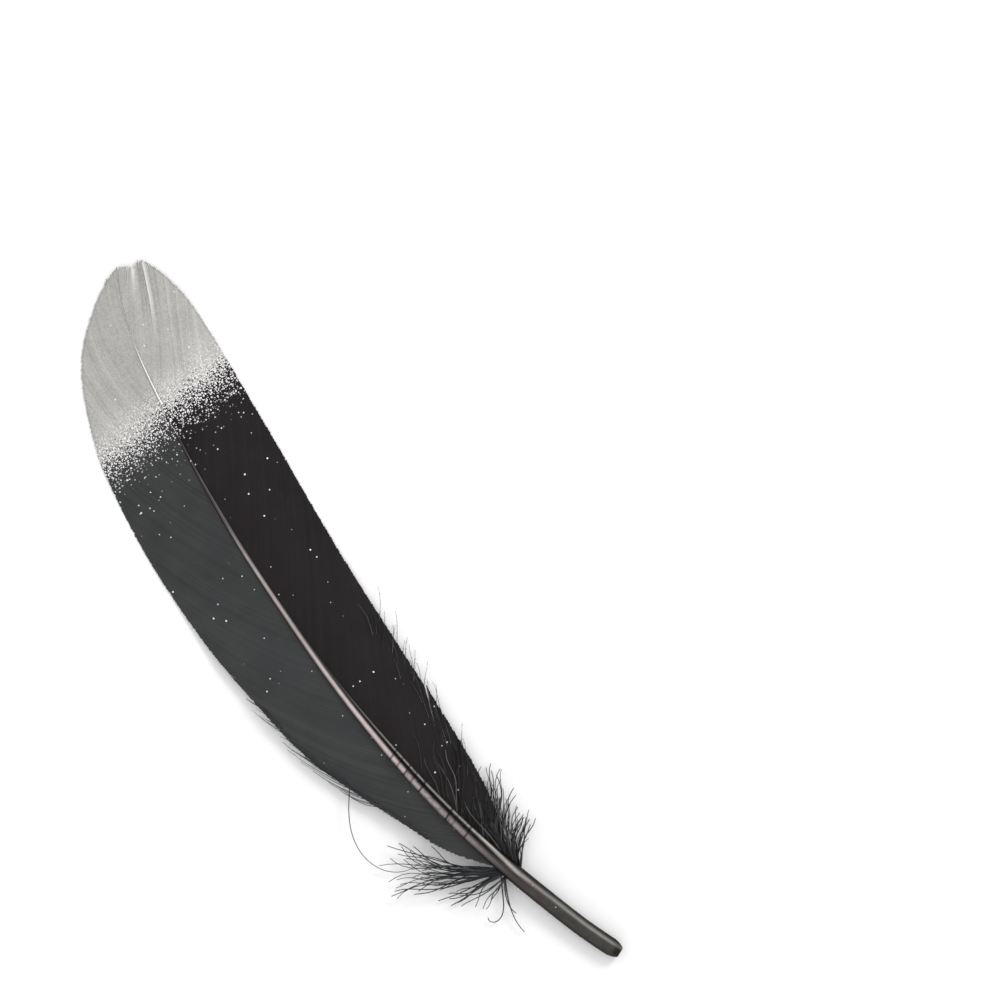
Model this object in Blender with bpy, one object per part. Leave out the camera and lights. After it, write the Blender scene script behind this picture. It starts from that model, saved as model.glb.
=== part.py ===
"""A goose quill feather lying on a table, its grooved side up. Metres, +Z up.

+X runs from the quill end to the tip and +Y points out to the outer vane. Most of the
feather is drawn in two running coordinates: the station s, measured along the shaft's
curve from the quill end, and the offset d, measured square to the shaft. An offset is
positive towards the outer vane, and side is +1 for that vane and -1 for the inner one.
"""

import math
import random
from collections import namedtuple

import bmesh
import bpy
import numpy as np

MM = 0.001

# The shaft's curve, seen from above; angles in degrees from +X
QUILL_END = (-88.6 * MM, -13.9 * MM)
AXIS_LENGTH = 182.9 * MM
HEADING_AT_QUILL = 22.7
HEADING_SLOPE = -0.312 / MM
HEADING_BEND = 0.000703 / MM**2
TIP_TURN_FROM = 155.4 * MM
TIP_TURN_SPAN = 21.0 * MM
TIP_TURN = -15.4
TIP_TURN_POWER = 1.66
AXIS_STEPS = 400

# The shaft's curve, seen from the side: the height of its middle
CALAMUS_HEIGHT = 1.73 * MM
ARCH_HEIGHT = 4.9 * MM
TIP_HEIGHT = 0.9 * MM
ARCH_FROM, ARCH_TO = 4.0 * MM, 75.0 * MM
FALL_FROM, FALL_TO = 96.0 * MM, 176.0 * MM

# The shaft: a round calamus, then a rachis with a groove, thinning towards the tip
SHAFT_WIDTH = 3.46 * MM
SHAFT_TAPER_FROM = 25.2 * MM
SHAFT_TAPER_SCALE = 75.6 * MM
SHAFT_TAPER_POWER = 1.1
SHAFT_THINNEST = 0.5 * MM
SHAFT_START, SHAFT_END = -0.6 * MM, 174.0 * MM
SHAFT_SIDES = 12
SHAFT_RINGS = 30
END_RINGS = 4
END_ROUNDED_TO = 3.2 * MM
END_WIDTH_SHARE = 0.4
END_POWER = 2.5
GROOVE_FROM, GROOVE_FULL = 30.0 * MM, 48.0 * MM
GROOVE_DEPTH_SHARE = 0.34

# The vanes' outlines, as (station, width) in millimetres from the down to the tip
OUTER_OUTLINE = (
    (29.5, 0.5), (34, 2.7), (42, 6.1), (52, 8.4), (62, 11.2), (74, 14.2), (90, 16.1),
    (105, 17.6), (126, 18.4), (144, 17.7), (157, 15.0), (165, 12.1), (172, 7.5), (179, 2.3),
    (181.6, 0),
)
INNER_OUTLINE = (
    (27.5, 0.5), (33, 4.0), (42, 8.8), (55, 12.3), (70, 14.6), (95, 16.3), (126, 17.0),
    (150, 16.2), (164, 14.9), (172, 13.0), (178.4, 9.7), (181.4, 7.0), (182.7, 4.8), (182.9, 0),
)
OUTLINE_STEPS = 400
# The height of each vane's edge above the table, as (station, height) in millimetres
OUTER_EDGE_HEIGHTS = ((28, 2.6), (60, 2.7), (95, 1.7), (118, 0.2), (150, 0.2), (183, 0.5))
INNER_EDGE_HEIGHTS = ((28, 2.2), (60, 1.6), (95, 0.8), (118, 0.2), (150, 0.2), (183, 0.5))
VANE_ROOT_SHARE = 0.25  # how far under the shaft's middle a vane joins it, in half widths
CROWN_POWER = 1.6
VANE_THICK_AT_ROOT = 0.70 * MM
VANE_THICK_AT_EDGE = 0.42 * MM

# Barbs sweep forwards: one that ends at a station and width runs on along the shaft by its
# sweep times that width. Sweeps are given as (station in millimetres, sweep)
SWEEPS = ((28, 0.85), (50, 1.4), (75, 1.75), (130, 1.85), (165, 2.4), (183, 3.2))
SWEEP_EARLY = 0.34  # weight of the first half of a barb in its run along the shaft

# Locks of barbs: low ridges from the shaft to a scalloped edge
LOCKS_A_SIDE = 34
LOCK_COLUMNS = 6
LOCK_RELIEF = 0.13 * MM
LOCK_SCALLOP = 0.28 * MM
FIRST_LOCK, LAST_LOCK = 27.0 * MM, 181.0 * MM
LOCK_SPACING_POWER = 0.86  # under 1, so that the locks are narrower near the tip

# Locks of down and of loose barbs are thin tapered spikes
SPIKE_SIDES = 4
SPIKE_RINGS = 6
SPIKE_TIP_SHARE = 0.3
SPIKE_FLATNESS = 0.55
Tuft = namedtuple("Tuft", "side count stations leans lengths curls half_width")
# Stations of the first and last root, then leans away from the shaft in degrees, lengths in
# millimetres and turns forwards in degrees, all three as (share of the tuft, value)
OUTER_TUFT = Tuft(
    side=1,
    count=16,
    stations=(28 * MM, 32 * MM),
    leans=((0, 50), (0.5, 45), (1, 34)),
    lengths=((0, 19), (0.4, 23), (0.8, 22), (1, 17)),
    curls=((0, -16), (0.5, 5), (1, 34)),
    half_width=0.8 * MM,
)
INNER_TUFT = Tuft(
    side=-1,
    count=20,
    stations=(25.5 * MM, 34 * MM),
    leans=((0, 46), (0.4, 36), (1, 20)),
    lengths=((0, 11), (0.3, 13.5), (0.7, 16), (1, 15)),
    curls=((0, -46), (0.4, -26), (1, 0)),
    half_width=0.8 * MM,
)
TUFT_TIP_HEIGHTS = (0.5 * MM, 2.6 * MM)
TUFT_HUMP = 0.9 * MM
# Single locks that hang back from the foot of the outer vane: station, lean, length, turn
# forwards and how late on its way the lock turns
HANGING_LOCKS = (
    (28.2, 131, 12.8, -40, 1.2), (28.8, 133, 13.0, 165, 3.6), (29.2, 124, 9.6, 72, 1.0),
    (28.4, 112, 6.0, 20, 1.0), (29.3, 76, 12.2, 6, 1.0), (29.6, 70, 14.2, 8, 1.0),
)
HANGING_HALF_WIDTH = 0.45 * MM

LooseEdge = namedtuple("LooseEdge", "side count stations leans lengths inset")
LOOSE_EDGES = (
    LooseEdge(1, 10, (44 * MM, 86 * MM), leans=(18, 28), lengths=(5 * MM, 8 * MM), inset=1.2 * MM),
    LooseEdge(-1, 7, (48 * MM, 84 * MM), leans=(24, 40), lengths=(4.5 * MM, 7.5 * MM), inset=1.6 * MM),
)
LOOSE_HALF_WIDTH = 0.4 * MM
# One long barb hangs from the outer vane in an open arc back towards the down
STRAY_ROOT = (64.5 * MM, 10.9 * MM)
STRAY_LENGTH = 28.0 * MM
STRAY_LEAN, STRAY_CURL, STRAY_BEND = 132, -125, 1.5
STRAY_HEIGHT = 1.0 * MM
SEED = 7

FEATHER_COLOUR = (0.032, 0.034, 0.034, 1.0)
FEATHER_ROUGHNESS = 0.55


def smooth(x):
    """0 up to 1 as x goes from 0 to 1, with no corner at either end."""
    x = min(max(x, 0.0), 1.0)
    return x * x * (3.0 - 2.0 * x)


def curve_through(points, at):
    """Reads a smooth curve through points of (x, y) at x. It has no bumps between them."""
    xs, ys = (np.array(column, float) for column in zip(*points))
    steps = np.diff(ys) / np.diff(xs)
    level = steps[:-1] * steps[1:] <= 0
    middle = 2 * steps[:-1] * steps[1:] / np.where(level, 1.0, steps[:-1] + steps[1:])
    slopes = np.concatenate([steps[:1], np.where(level, 0.0, middle), steps[-1:]])
    i = int(np.clip(np.searchsorted(xs, at) - 1, 0, len(xs) - 2))
    run = xs[i + 1] - xs[i]
    t = min(max((at - xs[i]) / run, 0.0), 1.0)
    start = (2 * t**3 - 3 * t**2 + 1) * ys[i] + (t**3 - 2 * t**2 + t) * run * slopes[i]
    end = (3 * t**2 - 2 * t**3) * ys[i + 1] + (t**3 - t**2) * run * slopes[i + 1]
    return float(start + end)


def heading(s):
    """Direction of the shaft at station s, in radians from +X."""
    degrees = HEADING_AT_QUILL + HEADING_SLOPE * s + HEADING_BEND * s * s
    past = max((s - TIP_TURN_FROM) / TIP_TURN_SPAN, 0.0)
    return math.radians(degrees + TIP_TURN * past**TIP_TURN_POWER)


def walk_axis():
    """Stations along the shaft's curve and the points there."""
    stations = np.linspace(0.0, AXIS_LENGTH, AXIS_STEPS + 1)
    step = AXIS_LENGTH / AXIS_STEPS
    points = [QUILL_END]
    for s in stations[:-1]:
        way = heading(s + step / 2)
        x, y = points[-1]
        points.append((x + step * math.cos(way), y + step * math.sin(way)))
    return stations, np.array(points)


AXIS_STATIONS, AXIS_POINTS = walk_axis()


def on_plan(s, d):
    """The point at station s and offset d, seen from above."""
    x = np.interp(s, AXIS_STATIONS, AXIS_POINTS[:, 0])
    y = np.interp(s, AXIS_STATIONS, AXIS_POINTS[:, 1])
    way = heading(s)
    beyond = s - min(max(s, 0.0), AXIS_LENGTH)
    x += beyond * math.cos(way) - d * math.sin(way)
    y += beyond * math.sin(way) + d * math.cos(way)
    return x, y


def axis_height(s):
    rise = (ARCH_HEIGHT - CALAMUS_HEIGHT) * smooth((s - ARCH_FROM) / (ARCH_TO - ARCH_FROM))
    fall = (ARCH_HEIGHT - TIP_HEIGHT) * smooth((s - FALL_FROM) / (FALL_TO - FALL_FROM))
    return CALAMUS_HEIGHT + rise - fall


def shaft_half_width(s):
    past = max(s - SHAFT_TAPER_FROM, 0.0) / SHAFT_TAPER_SCALE
    width = max(SHAFT_WIDTH * math.exp(-(past**SHAFT_TAPER_POWER)), SHAFT_THINNEST)
    short = max(END_ROUNDED_TO - s, 0.0) / (END_ROUNDED_TO - SHAFT_START)
    return width / 2 * (1.0 - (1.0 - END_WIDTH_SHARE) * short**END_POWER)


def outline(side, s):
    """Width of a vane at station s."""
    points = OUTER_OUTLINE if side > 0 else INNER_OUTLINE
    return max(curve_through(points, s / MM) * MM, 0.0)


def edge_height(side, s):
    points = OUTER_EDGE_HEIGHTS if side > 0 else INNER_EDGE_HEIGHTS
    return curve_through(points, s / MM) * MM


def vane_height(side, s, d):
    """Height of a vane's middle layer: highest at the shaft and crowned down to the edge."""
    root = axis_height(s) - VANE_ROOT_SHARE * shaft_half_width(s)
    share = min(abs(d) / max(outline(side, s), 0.2 * MM), 1.0)
    return root + (edge_height(side, s) - root) * share**CROWN_POWER


def edge_stations(side, roots):
    """The stations on a vane's edge where the barbs from the root stations end."""
    points = OUTER_OUTLINE if side > 0 else INNER_OUTLINE
    edges = np.linspace(points[0][0] * MM, points[-1][0] * MM, OUTLINE_STEPS)
    starts = [s - curve_through(SWEEPS, s / MM) * outline(side, s) for s in edges]
    return np.interp(roots, np.maximum.accumulate(starts), edges)


def on_barb(side, root, edge, share):
    """(s, d) at a share of the way out along the barb from the root to the edge station."""
    ahead = 2 * (1 - share) * share * SWEEP_EARLY + share * share
    return root + (edge - root) * ahead, side * outline(side, edge) * share


def mesh_object(name, points, faces):
    """A new object whose doubles are merged and whose faces are turned outwards."""
    mesh = bpy.data.meshes.new(name)
    mesh.from_pydata(points, [], faces)
    work = bmesh.new()
    work.from_mesh(mesh)
    bmesh.ops.remove_doubles(work, verts=work.verts, dist=0.001 * MM)
    bmesh.ops.recalc_face_normals(work, faces=work.faces)
    work.to_mesh(mesh)
    work.free()
    obj = bpy.data.objects.new(name, mesh)
    bpy.context.collection.objects.link(obj)
    return obj


def loft(name, rings):
    """A closed form through rings of points, with a flat cap on each end."""
    sides = len(rings[0])
    points = [point for ring in rings for point in ring]
    faces = []
    for start in range(0, len(points) - sides, sides):
        for k in range(sides):
            a, b = start + k, start + (k + 1) % sides
            faces += [(a, b, b + sides), (a, b + sides, a + sides)]
    faces.append(tuple(range(sides)))
    faces.append(tuple(range(len(points) - sides, len(points))))
    return mesh_object(name, points, faces)


def vane_point(side, root, edge, column, ridge):
    """The lower and the upper point of a vane on one barb, at one column of the grid."""
    share = column / LOCK_COLUMNS
    sign = 1.0 if ridge else -1.0
    s, d = on_barb(side, root, edge, share)
    low = vane_height(side, s, d)
    s += sign * LOCK_SCALLOP * share
    d += sign * side * LOCK_SCALLOP * share / 2
    x, y = on_plan(s, d)
    thick = VANE_THICK_AT_ROOT + (VANE_THICK_AT_EDGE - VANE_THICK_AT_ROOT) * share
    low = max(low - thick / 2, 0.0)
    relief = sign * LOCK_RELIEF * min(3 * share, 1.0)
    return (x, y, low), (x, y, low + thick + relief)


def make_vanes(name):
    """Both vanes as one closed sheet of locks, which runs across under the shaft."""
    rows = 2 * LOCKS_A_SIDE + 1
    spread = np.linspace(0.0, 1.0, rows) ** LOCK_SPACING_POWER
    roots = FIRST_LOCK + (LAST_LOCK - FIRST_LOCK) * spread
    edges = {side: edge_stations(side, roots) for side in (1, -1)}
    columns = [(1, c) for c in range(LOCK_COLUMNS, 0, -1)]
    columns += [(-1, c) for c in range(LOCK_COLUMNS + 1)]
    across = len(columns)
    points = []
    for row in range(rows):
        for side, column in columns:
            edge = edges[side][row]
            points += vane_point(side, roots[row], edge, column, ridge=row % 2 == 1)

    def at(row, column, layer):
        return 2 * (row * across + column) + layer

    faces = []
    for row in range(rows - 1):
        for c in range(across - 1):
            for layer in (0, 1):
                corner = at(row, c, layer)
                opposite = at(row + 1, c + 1, layer)
                faces.append((corner, at(row, c + 1, layer), opposite))
                faces.append((corner, opposite, at(row + 1, c, layer)))
        for c in (0, across - 1):
            faces.append((at(row, c, 0), at(row + 1, c, 0), at(row + 1, c, 1), at(row, c, 1)))
    for row in (0, rows - 1):
        for c in range(across - 1):
            faces.append((at(row, c, 0), at(row, c + 1, 0), at(row, c + 1, 1), at(row, c, 1)))
    return mesh_object(name, points, faces)


def shaft_ring(s):
    """Points round the shaft, square to it, with the top one sunk into the groove."""
    half = shaft_half_width(s)
    groove = GROOVE_DEPTH_SHARE * smooth((s - GROOVE_FROM) / (GROOVE_FULL - GROOVE_FROM))
    ring = []
    for k in range(SHAFT_SIDES):
        angle = 2 * math.pi * k / SHAFT_SIDES
        up = math.sin(angle) * half
        if k == SHAFT_SIDES // 4:
            up -= 2 * groove * half
        x, y = on_plan(s, math.cos(angle) * half)
        ring.append((x, y, axis_height(s) + up))
    return ring


def make_shaft(name):
    rounded = np.linspace(SHAFT_START, END_ROUNDED_TO, END_RINGS, endpoint=False)
    straight = np.linspace(END_ROUNDED_TO, SHAFT_END, SHAFT_RINGS)
    return loft(name, [shaft_ring(s) for s in (*rounded, *straight)])


def make_spike(name, start, way, length, curl, low, tip, hump, half_width, bend=1.0):
    """One lock of down or of loose barbs, which turns by curl on its way from start.

    It turns the later the greater bend is. low and tip are the heights of its ends, and hump
    is how far it arches over them.
    """
    x, y = start
    step = length / (SPIKE_RINGS - 1)
    rings = []
    for number in range(SPIKE_RINGS):
        share = number / (SPIKE_RINGS - 1)
        along = way + curl * share**bend
        wide = half_width * (1.0 - (1.0 - SPIKE_TIP_SHARE) * share)
        height = low + (tip - low) * share + hump * 4 * share * (1 - share)
        height = max(height, SPIKE_FLATNESS * wide)
        ring = []
        for k in range(SPIKE_SIDES):
            angle = 2 * math.pi * k / SPIKE_SIDES
            side = wide * math.cos(angle)
            up = wide * SPIKE_FLATNESS * math.sin(angle)
            ring.append((x - side * math.sin(along), y + side * math.cos(along), height + up))
        rings.append(ring)
        x += step * math.cos(along)
        y += step * math.sin(along)
    return loft(name, rings)


def make_tuft(tuft, rng):
    """Locks of down fanned from across the shaft round to forwards."""
    made = []
    for i in range(tuft.count):
        share = i / (tuft.count - 1)
        s = tuft.stations[0] + (tuft.stations[1] - tuft.stations[0]) * share
        s += rng.uniform(-0.3, 0.3) * MM
        lean = curve_through(tuft.leans, share) + rng.uniform(-5, 5)
        curl = curve_through(tuft.curls, share) + rng.uniform(-8, 8)
        made.append(
            make_spike(
                f"down_lock_{i}",
                start=on_plan(s, tuft.side * 0.4 * shaft_half_width(s)),
                way=heading(s) + tuft.side * math.radians(lean),
                length=curve_through(tuft.lengths, share) * MM * rng.uniform(0.85, 1.1),
                curl=-tuft.side * math.radians(curl),
                low=axis_height(s) - 0.2 * MM,
                tip=rng.uniform(*TUFT_TIP_HEIGHTS),
                hump=rng.uniform(0.0, TUFT_HUMP),
                half_width=tuft.half_width * rng.uniform(0.8, 1.15),
            )
        )
    return made


def make_hanging_locks():
    made = []
    for number, (station, lean, length, curl, bend) in enumerate(HANGING_LOCKS):
        s = station * MM
        made.append(
            make_spike(
                f"hanging_lock_{number}",
                start=on_plan(s, 0.4 * shaft_half_width(s)),
                way=heading(s) + math.radians(lean),
                length=length * MM,
                curl=-math.radians(curl),
                low=axis_height(s) - 0.4 * MM,
                tip=1.0 * MM,
                hump=0.0,
                half_width=HANGING_HALF_WIDTH,
                bend=bend,
            )
        )
    return made


def make_loose_edge(edge, rng):
    """Barbs that have come apart along a vane's lower edge and stand out from it."""
    made = []
    for i in range(edge.count):
        share = (i + rng.uniform(0.2, 0.8)) / edge.count
        s = edge.stations[0] + (edge.stations[1] - edge.stations[0]) * share
        d = edge.side * (outline(edge.side, s) - edge.inset)
        low = vane_height(edge.side, s, d)
        made.append(
            make_spike(
                f"loose_lock_{i}",
                start=on_plan(s, d),
                way=heading(s) + edge.side * math.radians(rng.uniform(*edge.leans)),
                length=rng.uniform(*edge.lengths),
                curl=edge.side * math.radians(rng.uniform(-6, 22)),
                low=low,
                tip=max(low - 0.8 * MM, 0.4 * MM),
                hump=0.2 * MM,
                half_width=LOOSE_HALF_WIDTH,
            )
        )
    return made


def make_stray():
    s, d = STRAY_ROOT
    return make_spike(
        "stray_barb",
        start=on_plan(s, d),
        way=heading(s) + math.radians(STRAY_LEAN),
        length=STRAY_LENGTH,
        curl=-math.radians(STRAY_CURL),
        low=vane_height(1, s, d),
        tip=STRAY_HEIGHT,
        hump=0.0,
        half_width=LOOSE_HALF_WIDTH,
        bend=STRAY_BEND,
    )


def fuse(body, others):
    """Unites the others with the body, one after another, and clears them away."""
    bpy.context.view_layer.objects.active = body
    for other in others:
        union = body.modifiers.new("fuse", "BOOLEAN")
        union.operation = "UNION"
        union.object = other
        bpy.ops.object.modifier_apply(modifier=union.name)
        bpy.data.objects.remove(other)


def give_material(obj, name, colour, roughness):
    made = bpy.data.materials.new(name)
    made.use_nodes = True
    shader = made.node_tree.nodes["Principled BSDF"]
    shader.inputs["Base Color"].default_value = colour
    shader.inputs["Roughness"].default_value = roughness
    made.diffuse_color = colour
    obj.data.materials.clear()
    obj.data.materials.append(made)


def main():
    for obj in list(bpy.data.objects):
        bpy.data.objects.remove(obj)
    rng = random.Random(SEED)
    feather = make_vanes("feather")
    grown_on = [make_shaft("shaft")]
    for tuft in (OUTER_TUFT, INNER_TUFT):
        grown_on += make_tuft(tuft, rng)
    grown_on += make_hanging_locks()
    for edge in LOOSE_EDGES:
        grown_on += make_loose_edge(edge, rng)
    grown_on.append(make_stray())
    fuse(feather, grown_on)
    give_material(feather, "dyed feather", FEATHER_COLOUR, FEATHER_ROUGHNESS)
    feather.data.shade_smooth()
    feather.data.set_sharp_from_angle(angle=math.radians(35))


main()
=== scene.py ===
"""The looks of a goose quill feather: every barb, hair and the shaft, around its solid.

Most of the feather is drawn in two running coordinates, as its solid is: the station s,
measured along the shaft's curve from the quill end, and the offset d, square to the shaft.
An offset is positive on the outer vane; side is +1 for that vane and -1 for the inner one.
"""

import math
from typing import NamedTuple

import bpy
import numpy as np
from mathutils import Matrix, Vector


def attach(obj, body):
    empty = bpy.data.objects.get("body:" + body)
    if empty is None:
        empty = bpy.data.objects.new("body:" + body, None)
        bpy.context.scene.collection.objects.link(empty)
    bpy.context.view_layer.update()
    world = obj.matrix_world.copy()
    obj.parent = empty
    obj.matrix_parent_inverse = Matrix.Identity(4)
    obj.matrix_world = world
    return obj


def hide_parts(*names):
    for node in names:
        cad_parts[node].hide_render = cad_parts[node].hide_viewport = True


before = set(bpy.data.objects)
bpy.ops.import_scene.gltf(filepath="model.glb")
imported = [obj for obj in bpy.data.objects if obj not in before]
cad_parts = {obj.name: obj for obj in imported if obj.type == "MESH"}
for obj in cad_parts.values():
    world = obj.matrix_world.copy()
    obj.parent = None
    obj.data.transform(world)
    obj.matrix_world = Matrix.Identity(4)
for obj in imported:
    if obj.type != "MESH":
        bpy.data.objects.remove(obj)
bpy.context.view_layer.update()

bl_info = {
    "name": "Goose Quill Feather",
    "version": (1, 0, 0),
    "blender": (4, 5, 0),
    "location": "View3D > Sidebar > Feather",
    "description": "Barbs, down, shaft and finishes of a dyed goose quill feather",
    "category": "Add Mesh",
}

MM = 0.001
NODE = "feather"
BODY = "root"

# The shaft's curve, seen from above; angles in degrees from +X
QUILL_END = (-88.6 * MM, -13.9 * MM)
AXIS_LENGTH = 182.9 * MM
HEADING_AT_QUILL = 22.7
HEADING_SLOPE = -0.312 / MM
HEADING_BEND = 0.000703 / MM**2
TIP_TURN_FROM = 155.4 * MM
TIP_TURN_SPAN = 21.0 * MM
TIP_TURN = -15.4
TIP_TURN_POWER = 1.66
AXIS_STEPS = 400

# The height of the shaft's middle along it
CALAMUS_HEIGHT = 1.73 * MM
ARCH_HEIGHT = 4.9 * MM
TIP_HEIGHT = 0.9 * MM
ARCH_FROM, ARCH_TO = 4.0 * MM, 75.0 * MM
FALL_FROM, FALL_TO = 96.0 * MM, 176.0 * MM

# The shaft's width along it; it is fuller than its solid up to one station, and less and
# less so up to the next
SHAFT_WIDTH = 3.46 * MM
SHAFT_TAPER_FROM = 25.2 * MM
SHAFT_TAPER_SCALE = 75.6 * MM
SHAFT_TAPER_POWER = 1.1
SHAFT_THINNEST = 0.30 * MM
SHAFT_FULLER_TO, SHAFT_FULLER_END = 54 * MM, 96 * MM
SHAFT_FULLER = 0.19 * MM
SHAFT_START, SHAFT_END = -0.6 * MM, 176.0 * MM
END_ROUNDED_TO = 2.2 * MM
END_WIDTH_SHARE = 0.58

# Vane outlines as (station, width), and edge heights, all in millimetres
OUTER_OUTLINE = (
    (29.5, 0.5), (34, 2.7), (42, 6.1), (52, 8.4), (62, 11.2), (74, 14.2), (90, 16.1),
    (105, 17.6), (126, 18.4), (144, 17.7), (157, 15.0), (165, 12.1), (172, 7.5), (179, 2.3),
    (181.6, 0),
)
INNER_OUTLINE = (
    (27.5, 0.5), (33, 4.0), (42, 8.8), (55, 12.3), (70, 14.6), (95, 16.3), (126, 17.0),
    (150, 16.2), (164, 14.9), (172, 13.0), (178.4, 9.7), (181.4, 7.0), (182.7, 4.8), (182.9, 0),
)
OUTER_EDGE_HEIGHTS = ((28, 2.6), (60, 2.7), (95, 1.7), (118, 0.2), (150, 0.2), (183, 0.5))
INNER_EDGE_HEIGHTS = ((28, 2.2), (60, 1.6), (95, 0.8), (118, 0.2), (150, 0.2), (183, 0.5))
# How far below the shaft's middle a vane starts, over its half width, and its crown
VANE_ROOT_SHARE = 0.25
CROWN_POWER, NARROWEST_VANE = 1.6, 0.2 * MM

# The silver paint ends along a straight line that crosses the shaft at this station, and
# leans back by this share of its way towards the outer vane
PAINT_STATION = 147.2 * MM
PAINT_SLANT = -0.22

# Barbs of the vanes by the station of their root, in millimetres: the distance to the next
# root, the station where they end, and how far they bow outwards on their way
FIRST_ROOT, LAST_ROOT = 27.2, 180.4
ROOT_SPACINGS = ((27, 0.36), (60, 0.43), (130, 0.46), (150, 0.58), (165, 0.80), (183, 0.80))
BARB_ENDS = {
    1: (
        (27.2, 29.6), (31.4, 34), (35, 42), (40, 52), (44.1, 62), (49.3, 74), (65.3, 95),
        (92.5, 126), (109.4, 144), (122, 157), (129.3, 165), (142.4, 172), (159.5, 179),
        (175, 181.3), (182, 181.6),
    ),
    -1: (
        (27.2, 28), (29.3, 33), (31.9, 42), (36.8, 55), (45.2, 70), (66, 95), (94.6, 126),
        (115.2, 150), (126.8, 164), (135, 172), (143.5, 178.4), (149.9, 181.4),
        (154.9, 182.7), (158.0, 182.5), (160.5, 181.4), (182, 181.5),
    ),
}
BOWS = {
    1: ((27, 0), (115, 0), (129, 0.7), (142, 1.2), (160, 1.2), (182, 0.5)),
    -1: (
        (27, 0), (110, 0), (127, 0.35), (135, 0.6), (143.5, 1.0), (150, 1.6), (155, 2.1),
        (159, 1.4), (163, 0.8), (172, 0.4), (182, 0.2),
    ),
}
# The last barbs end side by side along the blunt tip, at these distances from its middle
TIP_WIDTHS = ((27, 40), (150, 40), (154.9, 4.8), (159, 3.9), (163, 3.1), (172, 1.5), (182, 0.1))
# Where the middle of a barb's curve lies, as a share of its way: the lower, the squarer it
# leaves the shaft
EARLY = ((27, 0.34), (115, 0.34), (140, 0.5), (182, 0.5))
THINNEST_BARB, WIDEST_BARB, SHORTEST_BARB = 0.10 * MM, 0.42 * MM, 0.3 * MM
# Barbs start inside the shaft, at this share of its half width
BARB_INSET = 0.55
# The edge is more ragged towards its foot, from one station to the other, in millimetres
RAGGED_FROM, RAGGED_FULL, RAGGED_MORE = 60, 35, 1.4
RAGGED_SHORTEST = 3 * MM
# A barb's rings lie closer towards its tip, where it narrows and thins
BARB_CROWDING = 1.5
NARROWS_FROM, NARROWER, THINNER = 0.96, 0.25, 0.4
FULLY_THICK_WIDTH = 0.15 * MM
# Groups of barbs, by their number, that rise together, and groups of one tone
RELIEF_GROUPS, RELIEF_POWER = (37, 13, 6), 1.3
TONE_GROUPS, TONE_SWING, TONE_SCATTER, MIDDLE_TONE = (50, 17, 5), 0.16, 0.11, 0.5
# Nothing lies lower than this over the table
LOWEST = 0.02 * MM
# The silver paint darkens over this width along the vane's edge
RIM_WIDTH = 0.35 * MM

# The shaft's groove and inner ridge: where they lie along it, and in half widths from its
# middle towards the outer vane
GROOVE_FROM, GROOVE_FULL = 24.0 * MM, 34.0 * MM
GROOVE_FADES, GROOVE_ENDS = 74.0 * MM, 98.0 * MM
GROOVE_AT, GROOVE_WIDTH = -0.32, 0.20
RIDGE_AT, RIDGE_WIDTH = -0.74, 0.16
# Its light stripes, lighter horn with a painted highlight, as (station, offset, half width,
# brightness), in millimetres, and how far it lies to the outer side of its curve
BAND_AND_HIGHLIGHT = (
    (14, 0.5, 0.9, 0.0), (25, 0.85, 0.5, 0.02), (34, 0.80, 0.56, 0.24), (44, 0.72, 0.58, 0.48),
    (54, 0.62, 0.52, 0.60), (62, 0.44, 0.48, 0.82), (72, 0.24, 0.46, 0.86),
    (85, 0.08, 0.42, 0.74), (95, 0.0, 0.38, 0.62), (108, -0.05, 0.34, 0.60),
    (116, 0.0, 0.28, 0.46), (123, 0.0, 0.24, 0.16), (130, 0.05, 0.22, 0.09),
    (150, 0.0, 0.15, 0.06),
)
RIDGE_AND_HIGHLIGHT = (
    (0, -0.95, 0.34, 0.14), (8, -1.02, 0.38, 0.20), (15, -1.05, 0.40, 0.18),
    (22, -0.76, 0.40, 0.18), (26, -0.66, 0.38, 0.44), (31, -0.84, 0.33, 0.98),
    (36, -1.0, 0.30, 1.08), (42, -1.04, 0.27, 0.50), (50, -1.06, 0.24, 0.40),
    (60, -1.06, 0.21, 0.40), (72, -0.98, 0.17, 0.26), (84, -0.8, 0.15, 0.07),
    (94, -0.66, 0.13, 0.04), (106, -0.5, 0.11, 0.05), (115, -0.42, 0.10, 0.16),
    (120, -0.36, 0.10, 0.17), (126, -0.27, 0.11, 0.16), (132, -0.15, 0.12, 0.10),
    (142, 0.0, 0.12, 0.0),
)
SHAFT_SIDEWAYS = (
    (0, 0.28), (8, 0.2), (14, 0.0), (20, -0.16), (28, -0.22), (42, -0.18), (64, -0.14),
    (84, -0.02), (98, 0.0), (110, 0.2), (120, 0.38), (135, 0.45), (155, 0.35), (176, 0.2),
)
# Dark bars across it, as (station in millimetres, depth); they slant by this distance
BARS = (
    (40.3, 0.8), (44.0, 0.5), (45.8, 0.9), (53.8, 0.9), (56.4, 0.6), (58.5, 0.8), (60.7, 0.6),
    (62.8, 0.7),
)
BAR_WIDTH, BAR_SLANT = 0.42 * MM, 0.28 * MM
# Where it sinks between the painted barbs, and where it gets lower than it is wide
SINK_FROM, SINK_TO, SUNK_SHARE = 158 * MM, 168 * MM, 0.3
FLATTER_FROM, FLATTER_TO, FLATTER = 10 * MM, 70 * MM, 0.12
# Its rings lie closer towards the quill end, and the groove and the stripes reach their full
# depth and light at these shares of its half height
SHAFT_CROWDING = 1.35
GROOVE_RISE, STRIPE_RISE = 1 / 3, 0.2
STRIPE_POWER = 2.6

# Strands and hairs: waves on their way, how much stouter or thinner than the others one is,
# height over width, and tones
WAVES, STOUTNESS, STRAND_FLATNESS, STRAND_TONES = (0.6, 1.8), (0.8, 1.2), 0.8, (0.2, 0.9)
STRAND_BEND = 1.7
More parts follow.
